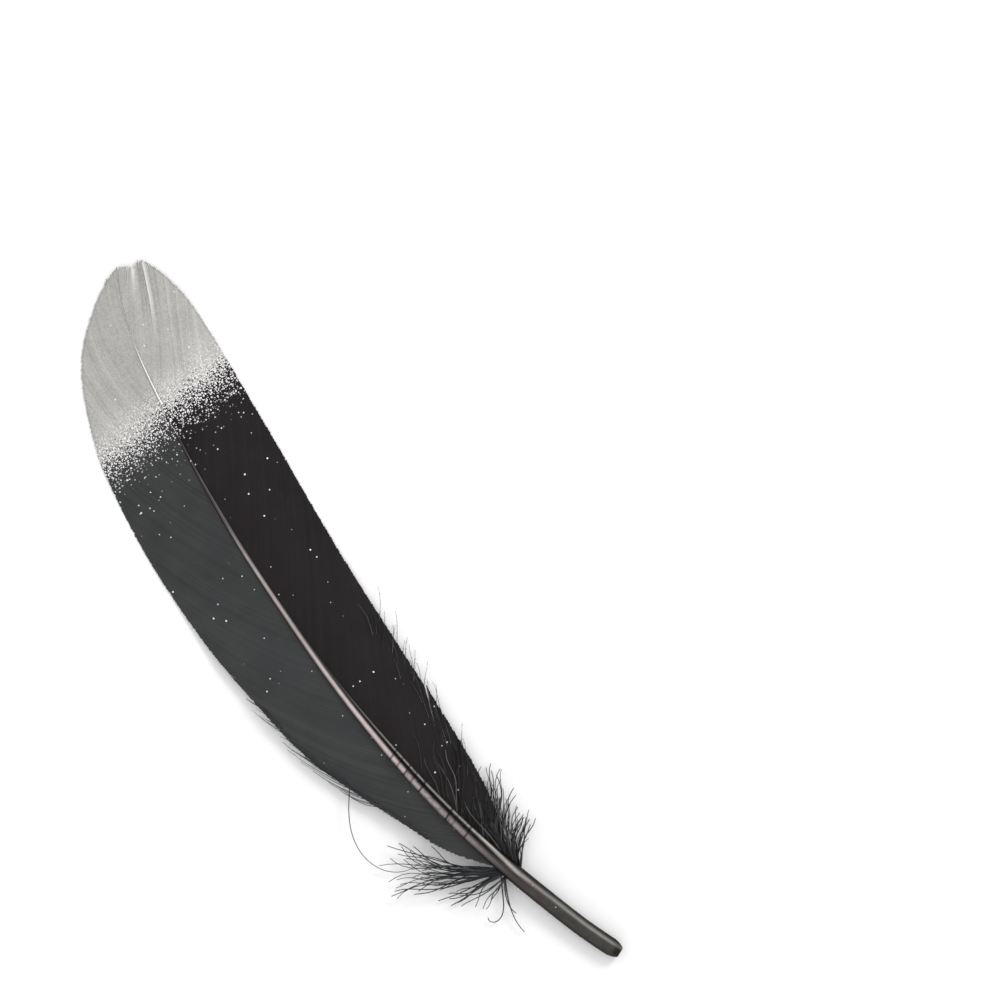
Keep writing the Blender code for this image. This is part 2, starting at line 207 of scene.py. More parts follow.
# Barbules: where along a strand they grow, their lean in degrees, how steeply they rise, how
# much shorter they are at its end, how far they turn back, and their radius
BARBULES_ALONG, BARBULE_LEANS, BARBULE_RISES = (0.04, 0.985), (32, 62), (-0.35, 0.45)
BARBULE_SHORTER, BARBULE_TURN, FEWEST_BARBULES = 0.55, 0.45, 4
BARBULE_RADIUS, BARBULE_TIP = 0.024 * MM, 0.45
BARBULE_RINGS = 2
# A strand's direction is taken between points this far to both sides
NEARBY = 0.3 * MM
# Down: share of the given length, where it leaves the shaft, the shortest barbules, and in
# millimetres the depth of its roots, the height of its ends and how far it arches
DOWN_LENGTHS, DOWN_ROOT_SHARE, DOWN_BARBULE = (0.62, 1.06), 0.6, 0.2 * MM
DOWN_DEPTHS, DOWN_ENDS, DOWN_ARCHES = (0.0, 0.9), (0.15, 3.2), (0.0, 1.0)
# Loose barbs: curl in degrees, and in millimetres the height of the root over the vane, that
# of the end over the root, and how far they arch
FRINGE_CURLS, FRINGE_ROOTS = (-14, 34), (-0.1, 0.15)
FRINGE_ENDS, FRINGE_ARCHES = (-1.6, 0.5), (0.0, 0.4)
FRINGE_RINGS, FRINGE_WAVE, FRINGE_TIP, FRINGE_BARBULE = 12, 6.0, 0.03 * MM, 0.15 * MM
FRINGE_NEAREST, FRINGE_LOWEST = 0.5 * MM, 0.1 * MM
# Added to the seed for each kind, so that none repeats another's pattern
FRINGE_SEED, HAIR_SEED = 10, 20

# Single hairs, each with the station and offset of its root, lean, length, curl and bend: one
# long barb hangs from the outer vane in an open arc back towards the down, with its end at
# this height,
STRAY_BARB = ((63.6, 11.2, 134, 27.5, -130, 1.8),)
STRAY_HEIGHT = 1.0 * MM
# others lie over the shaft,
CROSSING_HAIRS = (
    (37.5, -1.8, 30, 9.0, 5, 1.7), (39.0, -2.2, 38, 8.0, 0, 1.7), (41.0, -1.2, 24, 10.0, 8, 1.7),
    (43.0, -1.9, 33, 7.5, 2, 1.7), (53.0, -2.0, 28, 10.0, 4, 1.7), (55.5, -1.5, 22, 9.0, 0, 1.7),
    (57.0, -1.8, 35, 7.0, 6, 1.7),
)
# and others stand at the foot and along the edge of the outer vane
LOOSE_HAIRS = (
    (28.2, 1.5, 131, 12.8, -40, 1.2), (28.8, 2.2, 136, 12.2, 190, 5.0),
    (28.3, 1.6, 127, 8.6, -52, 1.6), (29.3, 2.0, 76, 12.2, 6, 1.0), (29.6, 1.7, 70, 14.2, 8, 1.0),
    (28.4, 1.4, 112, 6.0, 20, 1.0), (56.4, 8.9, 52, 7.6, 46, 1.0), (57.0, 9.1, 47, 9.0, 40, 1.0),
    (57.5, 9.3, 44, 8.2, 36, 1.0), (59.0, 10.0, 34, 9.5, 20, 1.0),
    (61.0, 10.9, 28, 11.0, 12, 1.0), (64.0, 11.8, 24, 11.0, 8, 1.0),
    (66.5, 12.5, 22, 12.0, 7, 1.0), (70.0, 13.3, 19, 10.0, 5, 1.0),
)
# These are thick up to this station, in millimetres
THICK_HAIRS_TO = 40

# Layers of paint specks, and flakes of it strewn over the feather: the size of their cells,
# how many cells have one, and the radii of the smallest and the largest, in cells
PAINT_SPECKS = ((0.40 * MM, 0.80, 0.12, 0.44), (0.62 * MM, 0.60, 0.12, 0.34))
VANE_FLAKES = (1.9 * MM, 0.075, 0.035, 0.10)
SHAFT_FLAKES = (1.6 * MM, 0.10, 0.03, 0.08)
DULLEST = 0.15
# How far the paint's edge wanders and how far its grain breaks it up, each with the size of
# its pattern
PAINT_WANDER, PAINT_WANDER_SIZE = 4 * MM, 11 * MM
PAINT_GRAIN, PAINT_GRAIN_SIZE = 17 * MM, 0.42 * MM
# Where, past its edge, the even field, the dense specks and the single specks set in, where
# they brighten, and where the field covers most of them
FIELD_SETS_IN, SPECKS_SET_IN, SPECKS_POWER = (1.2 * MM, 3.0 * MM), (-8.5 * MM, 0.5 * MM), 1.4
SINGLES_SET_IN, SINGLES_SHARE = (-20 * MM, -3 * MM), 0.05
SPECKS_BRIGHTEN = (-7 * MM, 0.0)
FIELD_COVERS, COVERED = (2 * MM, 10 * MM), 0.86
# The darkest and the lightest barbs over their dye, and the light strands among loose barbs
DARKEST_DYE, LIGHTEST_DYE, LIGHTEST_LOOSE = 0.5, 2.2, 2.4
# Stations where the calamus gives way to the light stripes, and where these are blotched
BARE_ENDS = (22 * MM, 34 * MM)
BLOTCHES_SET_IN, BLOTCHES_END = (35 * MM, 40 * MM), (57 * MM, 66 * MM)
# The rim of the quill's closed end, painted dark as shade like the shaft's sides
END_RIM = (0.2 * MM, 1.5 * MM)
FLOOR_WHITES = (0.95, 0.95, 0.95), (0.97, 0.97, 0.97)

# The camera looks straight down on this point, and the main light comes from this way
VIEW_CENTRE = (2.6 * MM, -48.2 * MM)
SENSOR = 36.0
KEY_WAY = (0.130, -0.755, 0.643)
KEY_DISTANCE = 1.1


class Fold(NamedTuple):
    """A place where neighbouring barbs have come apart or rise in a fold, with a painted highlight
    or painted shade along its crest.
    """

    root: float  # station of the barbs' roots, in millimetres
    opening: float  # gap at the edge, in millimetres
    lift: float  # how far the barbs in front lie over those behind, in millimetres
    crest: float  # height of the fold, in millimetres
    # light is a painted highlight along the fold's crest, and painted shade where it is below 0
    light: float  # how much brighter the fold is
    barbs: float  # how many barbs on each side it takes in
    start: float  # share of a barb's length where it begins
    stop: float = 1.0  # and where it is at its full


class Tuft(NamedTuple):
    """Down that grows from one side of the shaft at the foot of the vane."""

    side: int
    count: int
    stations: tuple  # millimetres
    leans: tuple  # (share of the tuft, degrees outwards from the way to the tip)
    lengths: tuple  # (share of the tuft, millimetres)
    curls: tuple  # (share of the tuft, degrees)
    scatter: tuple  # of the leans and of the curls, in degrees
    bend: float = STRAND_BEND  # how late on their way they curl


class Fringe(NamedTuple):
    """Loose barbs along one vane's lower edge."""

    side: int
    count: int
    stations: tuple  # millimetres
    leans: tuple  # degrees
    lengths: tuple  # millimetres
    insets: tuple  # millimetres from the edge
    thick: float  # radius at the root, in millimetres
    spacing: float  # millimetres between barbules
    barbule: float  # millimetres


FOLDS = {
    1: (
        Fold(55.0, 0.10, 0.05, 0.0, 0.0, 4, 0.60),
        Fold(65.9, 0.10, 0.05, 0.0, 0.1, 5, 0.55),
        Fold(81.0, 0.0, 0.05, 0.0, 0.15, 5, 0.45),
        Fold(104.0, 0.0, 0.06, 0.0, -0.1, 6, 0.40),
        Fold(124.0, 0.0, 0.03, 0.06, 0.15, 4, 0.30, 0.6),
        Fold(131.0, 0.0, 0.03, 0.07, 0.2, 3, 0.35, 0.8),
        Fold(140.0, 0.0, 0.03, 0.06, 0.3, 2, 0.30, 0.7),
        Fold(149.0, 0.0, 0.03, 0.08, 0.35, 1.2, 0.35, 0.8),
        Fold(158.5, 0.05, 0.06, 0.10, 0.6, 1.0, 0.40, 0.9),
        Fold(168.0, 0.10, 0.08, 0.10, 0.2, 2, 0.30, 0.9),
    ),
    -1: (
        Fold(45.0, 0.40, 0.10, 0.0, 0.0, 5, 0.50),
        Fold(72.0, 0.05, 0.08, 0.0, 0.1, 5, 0.45),
        Fold(99.0, 0.05, 0.08, 0.0, -0.1, 6, 0.45),
        Fold(122.0, 0.0, 0.05, 0.06, 0.15, 4, 0.30, 0.7),
        Fold(131.0, 0.0, 0.03, 0.07, 0.2, 3, 0.35, 0.8),
        Fold(138.5, 0.0, 0.06, 0.08, 0.2, 3, 0.30, 0.8),
        Fold(144.0, 0.0, 0.05, 0.09, 0.35, 1.5, 0.35, 0.9),
        Fold(148.0, 0.0, 0.06, 0.10, -0.2, 2, 0.30, 0.9),
        Fold(153.3, 0.03, 0.08, 0.26, 1.15, 0.95, 0.25, 0.7),
        Fold(156.5, 0.15, 0.10, 0.10, -0.5, 2, 0.30, 0.9),
        Fold(163.0, 0.10, 0.06, 0.15, 1.1, 2.6, 0.42, 1.0),
        Fold(170.0, 0.20, 0.10, 0.10, 0.2, 2, 0.40, 0.9),
    ),
}
TUFTS = {
    "outer_down": (
        # The dense lock that lies forwards along the vane's edge and comes apart at its end
        Tuft(
            side=1, count=34, stations=(28.2, 30.4), leans=((0, 48), (0.5, 44), (1, 40)),
            lengths=((0, 20), (0.2, 23), (0.7, 25), (1, 23)), curls=((0, -20), (0.5, 4), (1, 44)),
            scatter=(2.0, 10.0), bend=2.4,
        ),
        # Thin hairs behind it that stand out from the shaft
        Tuft(
            side=1, count=9, stations=(27.6, 29.4), leans=((0, 84), (1, 60)),
            lengths=((0, 10), (1, 14)), curls=((0, 14), (1, 4)), scatter=(8.0, 26.0),
        ),
    ),
    "inner_down": (
        Tuft(
            side=-1, count=56, stations=(25.8, 30.0), leans=((0, 40), (0.4, 30), (1, 18)),
            lengths=((0, 12), (0.3, 13.5), (0.7, 16), (1, 17)),
            curls=((0, -46), (0.4, -28), (1, -2)), scatter=(5.0, 12.0), bend=1.1,
        ),
        # Strands that lie over the foot of the vane
        Tuft(
            side=-1, count=60, stations=(29.0, 54.0), leans=((0, 40), (0.5, 33), (1, 28)),
            lengths=((0, 18), (0.5, 19), (1, 15)), curls=((0, -10), (1, 8)), scatter=(8.0, 12.0),
        ),
    ),
}
FRINGES = {
    "outer_fringe": Fringe(
        side=1, count=44, stations=(44, 86), leans=(8, 20), lengths=(4.0, 9.0),
        insets=(0.1, 1.0), thick=0.11, spacing=0.8, barbule=0.25,
    ),
    "inner_fringe": Fringe(
        side=-1, count=60, stations=(34, 88), leans=(16, 48), lengths=(3.0, 9.0),
        insets=(0.8, 3.5), thick=0.085, spacing=0.35, barbule=0.7,
    ),
}


def rise(x, low, high):
    """0 at low up to 1 at high, with no corner at either end."""
    share = np.clip((x - low) / (high - low), 0.0, 1.0)
    return share * share * (3.0 - 2.0 * share)


def curve_through(points, at):
    """Reads a smooth curve through points of (x, y) at x. It has no bumps between them."""
    xs, ys = (np.array(column, float) for column in zip(*points))
    at = np.clip(np.asarray(at, float), xs[0], xs[-1])
    steps = np.diff(ys) / np.diff(xs)
    level = steps[:-1] * steps[1:] <= 0
    middle = 2 * steps[:-1] * steps[1:] / np.where(level, 1.0, steps[:-1] + steps[1:])
    slopes = np.concatenate([steps[:1], np.where(level, 0.0, middle), steps[-1:]])
    i = np.clip(np.searchsorted(xs, at) - 1, 0, len(xs) - 2)
    run = xs[i + 1] - xs[i]
    t = (at - xs[i]) / run
    start = (2 * t**3 - 3 * t**2 + 1) * ys[i] + (t**3 - 2 * t**2 + t) * run * slopes[i]
    end = (3 * t**2 - 2 * t**3) * ys[i + 1] + (t**3 - t**2) * run * slopes[i + 1]
    return start + end


def heading(s):
    """Direction of the shaft at station s, in radians from +X."""
    degrees = HEADING_AT_QUILL + HEADING_SLOPE * s + HEADING_BEND * s * s
    past = np.maximum((s - TIP_TURN_FROM) / TIP_TURN_SPAN, 0.0)
    return np.radians(degrees + TIP_TURN * past**TIP_TURN_POWER)


def running_sums(steps):
    """Sums along the last axis, from 0."""
    return np.concatenate([np.zeros_like(steps[..., :1]), np.cumsum(steps, axis=-1)], axis=-1)


def walk_axis():
    """Stations along the shaft's curve and the points there."""
    stations = np.linspace(0.0, AXIS_LENGTH, AXIS_STEPS + 1)
    step = AXIS_LENGTH / AXIS_STEPS
    ways = heading(stations[:-1] + step / 2)
    x = QUILL_END[0] + running_sums(step * np.cos(ways))
    y = QUILL_END[1] + running_sums(step * np.sin(ways))
    return stations, x, y


AXIS_S, AXIS_X, AXIS_Y = walk_axis()


def on_plan(s, d):
    """The point at station s and offset d, seen from above."""
    way = heading(s)
    beyond = s - np.clip(s, 0.0, AXIS_LENGTH)
    x = np.interp(s, AXIS_S, AXIS_X) + beyond * np.cos(way) - d * np.sin(way)
    y = np.interp(s, AXIS_S, AXIS_Y) + beyond * np.sin(way) + d * np.cos(way)
    return x, y


def axis_height(s):
    arch = (ARCH_HEIGHT - CALAMUS_HEIGHT) * rise(s, ARCH_FROM, ARCH_TO)
    return CALAMUS_HEIGHT + arch - (ARCH_HEIGHT - TIP_HEIGHT) * rise(s, FALL_FROM, FALL_TO)


def shaft_half_width(s):
    past = np.maximum(s - SHAFT_TAPER_FROM, 0.0) / SHAFT_TAPER_SCALE
    width = np.maximum(SHAFT_WIDTH * np.exp(-(past**SHAFT_TAPER_POWER)), SHAFT_THINNEST)
    short = np.maximum(END_ROUNDED_TO - s, 0.0) / (END_ROUNDED_TO - SHAFT_START)
    rounding = np.sqrt(np.maximum(1.0 - (1.0 - END_WIDTH_SHARE**2) * short**2, 0.0))
    fuller = SHAFT_FULLER * (1.0 - rise(s, SHAFT_FULLER_TO, SHAFT_FULLER_END))
    return (width / 2 + fuller) * rounding


def sideways(s):
    """How far the shaft lies to the outer side of its curve."""
    return curve_through(SHAFT_SIDEWAYS, s / MM) * MM


def outline(side, s):
    points = OUTER_OUTLINE if side > 0 else INNER_OUTLINE
    return np.maximum(curve_through(points, s / MM) * MM, 0.0)


def edge_height(side, s):
    points = OUTER_EDGE_HEIGHTS if side > 0 else INNER_EDGE_HEIGHTS
    return curve_through(points, s / MM) * MM


def vane_height(side, s, d):
    """Height of a vane's middle layer: highest at the shaft and crowned down to the edge."""
    root = axis_height(s) - VANE_ROOT_SHARE * shaft_half_width(s)
    share = np.clip(np.abs(d) / np.maximum(outline(side, s), NARROWEST_VANE), 0.0, 1.0)
    return root + (edge_height(side, s) - root) * share**CROWN_POWER


def model_tube(sides, rings):
    """A closed tube along +X, one metre long and one in radius, as a shape to copy.

    Returns the number of each point's ring, its place in the ring, and the faces.
    """
    bpy.ops.object.select_all(action="DESELECT")
    bpy.ops.mesh.primitive_cylinder_add(
        vertices=sides, radius=1.0, depth=1.0, location=(0.5, 0, 0), rotation=(0, math.pi / 2, 0)
    )
    tube = bpy.context.active_object
    bpy.ops.object.transform_apply(location=True, rotation=True, scale=True)
    bpy.ops.object.mode_set(mode="EDIT")
    bpy.ops.mesh.select_mode(type="EDGE")
    bpy.ops.mesh.select_all(action="DESELECT")
    bpy.ops.object.mode_set(mode="OBJECT")
    # Only the edges that run the length of the tube are cut
    for edge in tube.data.edges:
        first, second = (tube.data.vertices[v].co.x for v in edge.vertices)
        edge.select = abs(first - second) > 0.5
    bpy.ops.object.mode_set(mode="EDIT")
    if rings > 2:
        bpy.ops.mesh.subdivide(number_cuts=rings - 2)
    bpy.ops.object.mode_set(mode="OBJECT")
    points = np.array([v.co for v in tube.data.vertices])
    faces = [tuple(p.vertices) for p in tube.data.polygons]
    bpy.data.objects.remove(tube)
    return np.rint(points[:, 0] * (rings - 1)).astype(int), points[:, 1:], faces


def lay(tube, paths, wide, high, tilt=0.0, **kept):
    """Copies of a tube, one along each path: their points, faces and named values.

    paths is (copies, rings, 3). wide and high, the half sizes, tilt, which lifts a copy's
    left edge and lowers its right one, and the values kept are (copies, rings) or fit that.
    """
    ring, place, faces = tube
    copies, rings = paths.shape[:2]

    def on_points(value):
        return np.broadcast_to(value, (copies, rings))[:, ring]

    tangent = np.gradient(paths, axis=1)
    tangent /= np.maximum(np.linalg.norm(tangent, axis=2, keepdims=True), 1e-12)
    left = np.stack([-tangent[..., 1], tangent[..., 0], np.zeros((copies, rings))], axis=2)
    left /= np.maximum(np.linalg.norm(left, axis=2, keepdims=True), 1e-9)
    up = np.cross(tangent, left)
    across = place[:, 0] * on_points(wide)
    upwards = place[:, 1] * on_points(high) + place[:, 0] * on_points(tilt)
    points = paths[:, ring] + left[:, ring] * across[..., None] + up[:, ring] * upwards[..., None]
    points[..., 2] = np.maximum(points[..., 2], LOWEST)
    starts = range(0, copies * len(ring), len(ring))
    copied = [tuple(v + start for v in face) for start in starts for face in faces]
    values = {label: on_points(value).ravel() for label, value in kept.items()}
    return points.reshape(-1, 3), copied, values


def make_piece(name, *layers, sharp=50.0):
    """One object from layers of copies, with the faces turned outwards and its values kept."""
    points, faces = [], []
    for layer_points, layer_faces, _ in layers:
        start = sum(len(p) for p in points)
        faces += [tuple(v + start for v in face) for face in layer_faces]
        points.append(layer_points)
    mesh = bpy.data.meshes.new(name)
    mesh.from_pydata(np.concatenate(points).tolist(), [], faces)
    for label in layers[0][2]:
        numbers = np.concatenate([values[label] for _, _, values in layers])
        kept = mesh.attributes.new(label, "FLOAT", "POINT")
        kept.data.foreach_set("value", numbers.astype(np.float32))
    piece = bpy.data.objects.new(name, mesh)
    bpy.context.collection.objects.link(piece)
    bpy.ops.object.select_all(action="DESELECT")
    piece.select_set(True)
    bpy.context.view_layer.objects.active = piece
    bpy.ops.object.mode_set(mode="EDIT")
    bpy.ops.mesh.select_all(action="SELECT")
    bpy.ops.mesh.normals_make_consistent(inside=False)
    bpy.ops.object.mode_set(mode="OBJECT")
    bpy.ops.object.shade_smooth_by_angle(angle=math.radians(sharp))
    return piece


def finish_piece(piece, material):
    """Gives a piece its material, hangs it on the body it rides on, and hides the solid it is drawn
    over.
    """
    piece.data.materials.append(material)
    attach(piece, BODY)
    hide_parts(NODE)
    triangles = sum(len(p.vertices) - 2 for p in piece.data.polygons)
    print(f"{piece.name}: {triangles} triangles")


def ripples(count, rng, spans):
    """A wandering value for each of a row of barbs, the sum of swings of several widths."""
    row = np.arange(count)
    total = np.zeros(count)
    for span in spans:
        knots = rng.normal(size=int(count / span) + 3)
        total += np.interp(row / span, np.arange(len(knots)), knots)
    return total / len(spans)


def barb_roots(spacing):
    """Stations of the barbs' roots, in millimetres."""
    roots = [FIRST_ROOT]
    while roots[-1] < LAST_ROOT:
        roots.append(roots[-1] + spacing * float(curve_through(ROOT_SPACINGS, roots[-1])))
    return np.array(roots)


def barb_courses(side, roots, t, ragged, rng):
    """Stations and offsets of a vane's barbs at the shares t of their way to the edge."""
    ends = curve_through(BARB_ENDS[side], roots) * MM
    widths = np.minimum(outline(side, ends), curve_through(TIP_WIDTHS, roots) * MM)
    widths = np.maximum(widths, SHORTEST_BARB)[:, None]
    bow = curve_through(BOWS[side], roots)[:, None]
    early = curve_through(EARLY, roots)[:, None]
    start = roots[:, None] * MM
    inside = np.minimum(BARB_INSET * shaft_half_width(start) / widths, 0.5) / (1.0 + bow)
    more = 1.0 + RAGGED_MORE * rise(roots, RAGGED_FROM, RAGGED_FULL)[:, None]
    uneven = rng.normal(size=(len(roots), 1)) * ragged * more
    reach = 1.0 + uneven / np.maximum(widths, RAGGED_SHORTEST)
    share = inside + (reach - inside) * t
    s = start + (ends[:, None] - start) * (2 * (1 - share) * share * early + share**2)
    d = side * widths * (share + bow * share * (1 - share))
    return s, d + sideways(start) * (1 - share) ** 2


def fold_barbs(side, roots, t, shift, lift, tones):
    """Adds each fold of a vane to its barbs' shift forwards and their lift, and its painted
    highlight or painted shade to their tones.
    """
    for fold in FOLDS[side]:
        far = (np.arange(len(roots)) - np.searchsorted(roots, fold.root) + 0.5)[:, None]
        along = rise(t, fold.start, fold.stop)
        near = np.exp(-np.abs(far) / fold.barbs) * along
        crest = np.exp(-((far / fold.barbs) ** 2)) * along
        shift += np.sign(far) * near * fold.opening * MM / 2
        lift += (far > 0) * near * fold.lift * MM + crest * fold.crest * MM
        # Painted highlight, or painted shade, along the fold's crest
        tones += crest * fold.light


def vane_rim(side, s, d):
    """1 along the vane's edge and 0 from RIM_WIDTH inwards."""
    steep = (outline(side, s + RIM_WIDTH) - outline(side, s - RIM_WIDTH)) / (2 * RIM_WIDTH)
    inside = (outline(side, s) - np.abs(d)) / np.sqrt(1.0 + steep**2)
    return np.clip(1.0 - inside / RIM_WIDTH, 0.0, 1.0)


def vane_layer(side, settings):
    """All barbs of one vane, each lapped over the one behind it."""
    rng = np.random.default_rng(settings.seed + (side > 0))
    roots = barb_roots(settings.spacing)
    count, rings = len(roots), settings.rings
    t = 1.0 - (1.0 - np.linspace(0.0, 1.0, rings)) ** BARB_CROWDING
    s, d = barb_courses(side, roots, t, settings.ragged, rng)
    x, y = on_plan(s, d)
    paths = np.stack([x, y, vane_height(side, s, d)], axis=2)
    tangent = np.gradient(paths, axis=1)
    tangent /= np.linalg.norm(tangent, axis=2, keepdims=True)
    step = np.diff(paths, axis=0, append=2 * paths[-1:] - paths[-2:-1])
    apart = np.abs(tangent[..., 0] * step[..., 1] - tangent[..., 1] * step[..., 0])
    wide = np.minimum(0.5 * settings.overlap * np.maximum(apart, THINNEST_BARB), WIDEST_BARB)
    wide *= 1.0 - NARROWER * rise(t, NARROWS_FROM, 1.0)
    forwards = -side * np.stack([-tangent[..., 1], tangent[..., 0]], axis=2)
    shift = np.zeros((count, rings))
    lift = ripples(count, rng, RELIEF_GROUPS)[:, None] * settings.relief * t**RELIEF_POWER
    tones = MIDDLE_TONE + TONE_SWING * ripples(count, rng, TONE_GROUPS)
    tones = tones + TONE_SCATTER * rng.normal(size=count)
    tones = np.repeat(tones[:, None], rings, axis=1)
    fold_barbs(side, roots, t, shift, lift, tones)
    paths[..., :2] += forwards * shift[..., None]
    paths[..., 2] += lift
    high = settings.ridge * np.minimum(wide / FULLY_THICK_WIDTH, 1.0) * (1.0 - THINNER * t)
    tilt = -side * settings.lap * wide
    rim = vane_rim(side, s, d)
    # The tone kept on each barb is its own tone plus the folds' painted highlight and painted shade
    return lay(
        model_tube(4, rings), paths, wide, high, tilt, tone=np.clip(tones, 0.0, 2.0), rim=rim
    )


def stripe(rows, s, ring, offset):
    """Brightness of a stripe along the shaft, lighter horn with a painted highlight, for each of
    its points.
    """
    stations, *columns = zip(*rows)
    at, width, light = (
        curve_through(tuple(zip(stations, column)), s / MM)[ring] for column in columns
    )
    return light * np.exp(-(np.abs((offset - at) / width) ** STRIPE_POWER))


def shaft_layer(settings):
    """The shaft: round at the quill end, and grooved from where the vanes begin."""
    rings = settings.rings
    s = SHAFT_START + (SHAFT_END - SHAFT_START) * np.linspace(0.0, 1.0, rings) ** SHAFT_CROWDING
    x, y = on_plan(s, sideways(s))
    path = np.stack([x, y, axis_height(s)], axis=1)[None]
    half = shaft_half_width(s) * (1 - (1 - SUNK_SHARE) * rise(s, SINK_FROM, SINK_TO))
    ring, place, faces = model_tube(settings.sides, rings)
    across = place[:, 0]
    grooved = (rise(s, GROOVE_FROM, GROOVE_FULL) * (1.0 - rise(s, GROOVE_FADES, GROOVE_ENDS)))[ring]
    low = np.exp(-(((across - GROOVE_AT) / GROOVE_WIDTH) ** 2))
    ridge = np.exp(-(((across - RIDGE_AT) / RIDGE_WIDTH) ** 2))
    shaped = place.copy()
    deep = rise(place[:, 1], 0.0, GROOVE_RISE) * grooved
    shaped[:, 1] += deep * (settings.ridge * ridge - settings.groove * low)
    high = half * (1.0 - FLATTER * rise(s, FLATTER_FROM, FLATTER_TO))
    layer = lay((ring, shaped, faces), path, half[None], high[None], station=s[None])
    offset = across * half[ring] / MM
    # Stripes of lighter horn with a painted highlight, kept on the shaft's upper side only
    light = stripe(BAND_AND_HIGHLIGHT, s, ring, offset) + stripe(RIDGE_AND_HIGHLIGHT, s, ring, offset)
    layer[2].update(across=across, tone=light * rise(place[:, 1], 0.0, STRIPE_RISE))
    return layer


def strand_paths(side, s, d, lean, curl, length, low, tip, arch, rings, rng, wave, bend):
    """Hairs that leave the point (s, d) leaning outwards from the way to the tip.

    On their way they turn back by curl, the later the greater bend is; angles are in degrees.
    low and tip are the heights of their ends, and arch is how far they rise over these.
    """
    t = np.linspace(0.0, 1.0, rings)
    count = len(s)
    waves, phase = rng.uniform(*WAVES, (count, 1)), rng.uniform(0, 1, (count, 1))
    swings = wave * np.sin(2 * np.pi * (waves * t + phase)) * t
    turned = lean[:, None] - curl[:, None] * t ** np.reshape(bend, (-1, 1)) + swings
    way = heading(s)[:, None] + side * np.radians(turned)
    x, y = on_plan(s, d)
    step = (length / (rings - 1))[:, None]
    middle = (way[:, 1:] + way[:, :-1]) / 2
    x = x[:, None] + running_sums(step * np.cos(middle))
    y = y[:, None] + running_sums(step * np.sin(middle))
    z = low[:, None] + (tip - low)[:, None] * t + arch[:, None] * 4 * t * (1 - t)
    return np.stack([x, y, z], axis=2)


def points_along(path, lengths, at):
    return np.stack([np.interp(at, lengths, path[:, axis]) for axis in range(3)], axis=1)


def barbule_paths(paths, spacing, sizes, rng):
    """Short hairs on both sides of strands, slanted towards the strand's end."""
    made = []
    t = np.linspace(0.0, 1.0, BARBULE_RINGS)
    for path in paths:
        lengths = running_sums(np.linalg.norm(np.diff(path, axis=0), axis=1))
        count = max(int(lengths[-1] / spacing), FEWEST_BARBULES)
        at = np.sort(rng.uniform(*BARBULES_ALONG, count)) * lengths[-1]
        base = points_along(path, lengths, at)
        run = points_along(path, lengths, at + NEARBY) - points_along(path, lengths, at - NEARBY)
        way = np.arctan2(run[:, 1], run[:, 0])
        hand = np.where(np.arange(count) % 2, 1.0, -1.0)
        lean = np.radians(rng.uniform(*BARBULE_LEANS, count)) * hand
        size = rng.uniform(*sizes, count) * (1.0 - BARBULE_SHORTER * (at / lengths[-1]) ** 2)
        up = rng.uniform(*BARBULE_RISES, count) * size
        angle = way[:, None] + lean[:, None] * (1.0 - BARBULE_TURN * t)
        steps = np.stack([size[:, None] * np.cos(angle), size[:, None] * np.sin(angle)], axis=2)
        rises = np.broadcast_to(up[:, None, None], (count, BARBULE_RINGS, 1))
        made.append(base[:, None] + np.concatenate([steps, rises], axis=2) * t[:, None])
    return np.concatenate(made)


def strand_layers(paths, thick, thin, rng, spacing, sizes):
    """Strands as tubes that taper from thick to thin, and their barbules."""
    count, rings = paths.shape[:2]
    radius = thick + (thin - thick) * np.linspace(0.0, 1.0, rings)
    radius = radius * rng.uniform(*STOUTNESS, (count, 1))
    tone = rng.uniform(*STRAND_TONES, (count, 1))
    strands = lay(model_tube(3, rings), paths, radius, radius * STRAND_FLATNESS, tone=tone)
    hairs = barbule_paths(paths, spacing, sizes, rng)
    fine = np.linspace(1.0, BARBULE_TIP, BARBULE_RINGS) * BARBULE_RADIUS
    tone = rng.uniform(*STRAND_TONES, (len(hairs), 1))
    return [strands, lay(model_tube(3, BARBULE_RINGS), hairs, fine, fine, tone=tone)]


def spread(count, rng):
    """A row of shares from 0 to 1 at uneven distances."""
    return (np.arange(count) + rng.uniform(0, 1, count)) / count


def tuft_layers(tuft, settings):
    """The down at the foot of one vane, fanned from across the shaft round to forwards."""
    rng = np.random.default_rng(settings.seed + tuft.side + tuft.count)
    count = tuft.count
    share = spread(count, rng)
    s = (tuft.stations[0] + (tuft.stations[1] - tuft.stations[0]) * share) * MM
    lean = curve_through(tuft.leans, share) + rng.normal(size=count) * tuft.scatter[0]
    length = curve_through(tuft.lengths, share) * MM * rng.uniform(*DOWN_LENGTHS, count)
    curl = curve_through(tuft.curls, share) + rng.normal(size=count) * tuft.scatter[1]
    low = axis_height(s) - rng.uniform(*DOWN_DEPTHS, count) * MM
    tip = rng.uniform(*DOWN_ENDS, count) * MM
    arch = rng.uniform(*DOWN_ARCHES, count) * MM
    d = tuft.side * DOWN_ROOT_SHARE * shaft_half_width(s)
    paths = strand_paths(
        tuft.side, s, d, lean, curl, length, low, tip, arch, settings.rings, rng,
        settings.wave, tuft.bend,
    )
    sizes = (DOWN_BARBULE, settings.barbule)
    return strand_layers(paths, settings.thick, settings.thin, rng, settings.spacing, sizes)


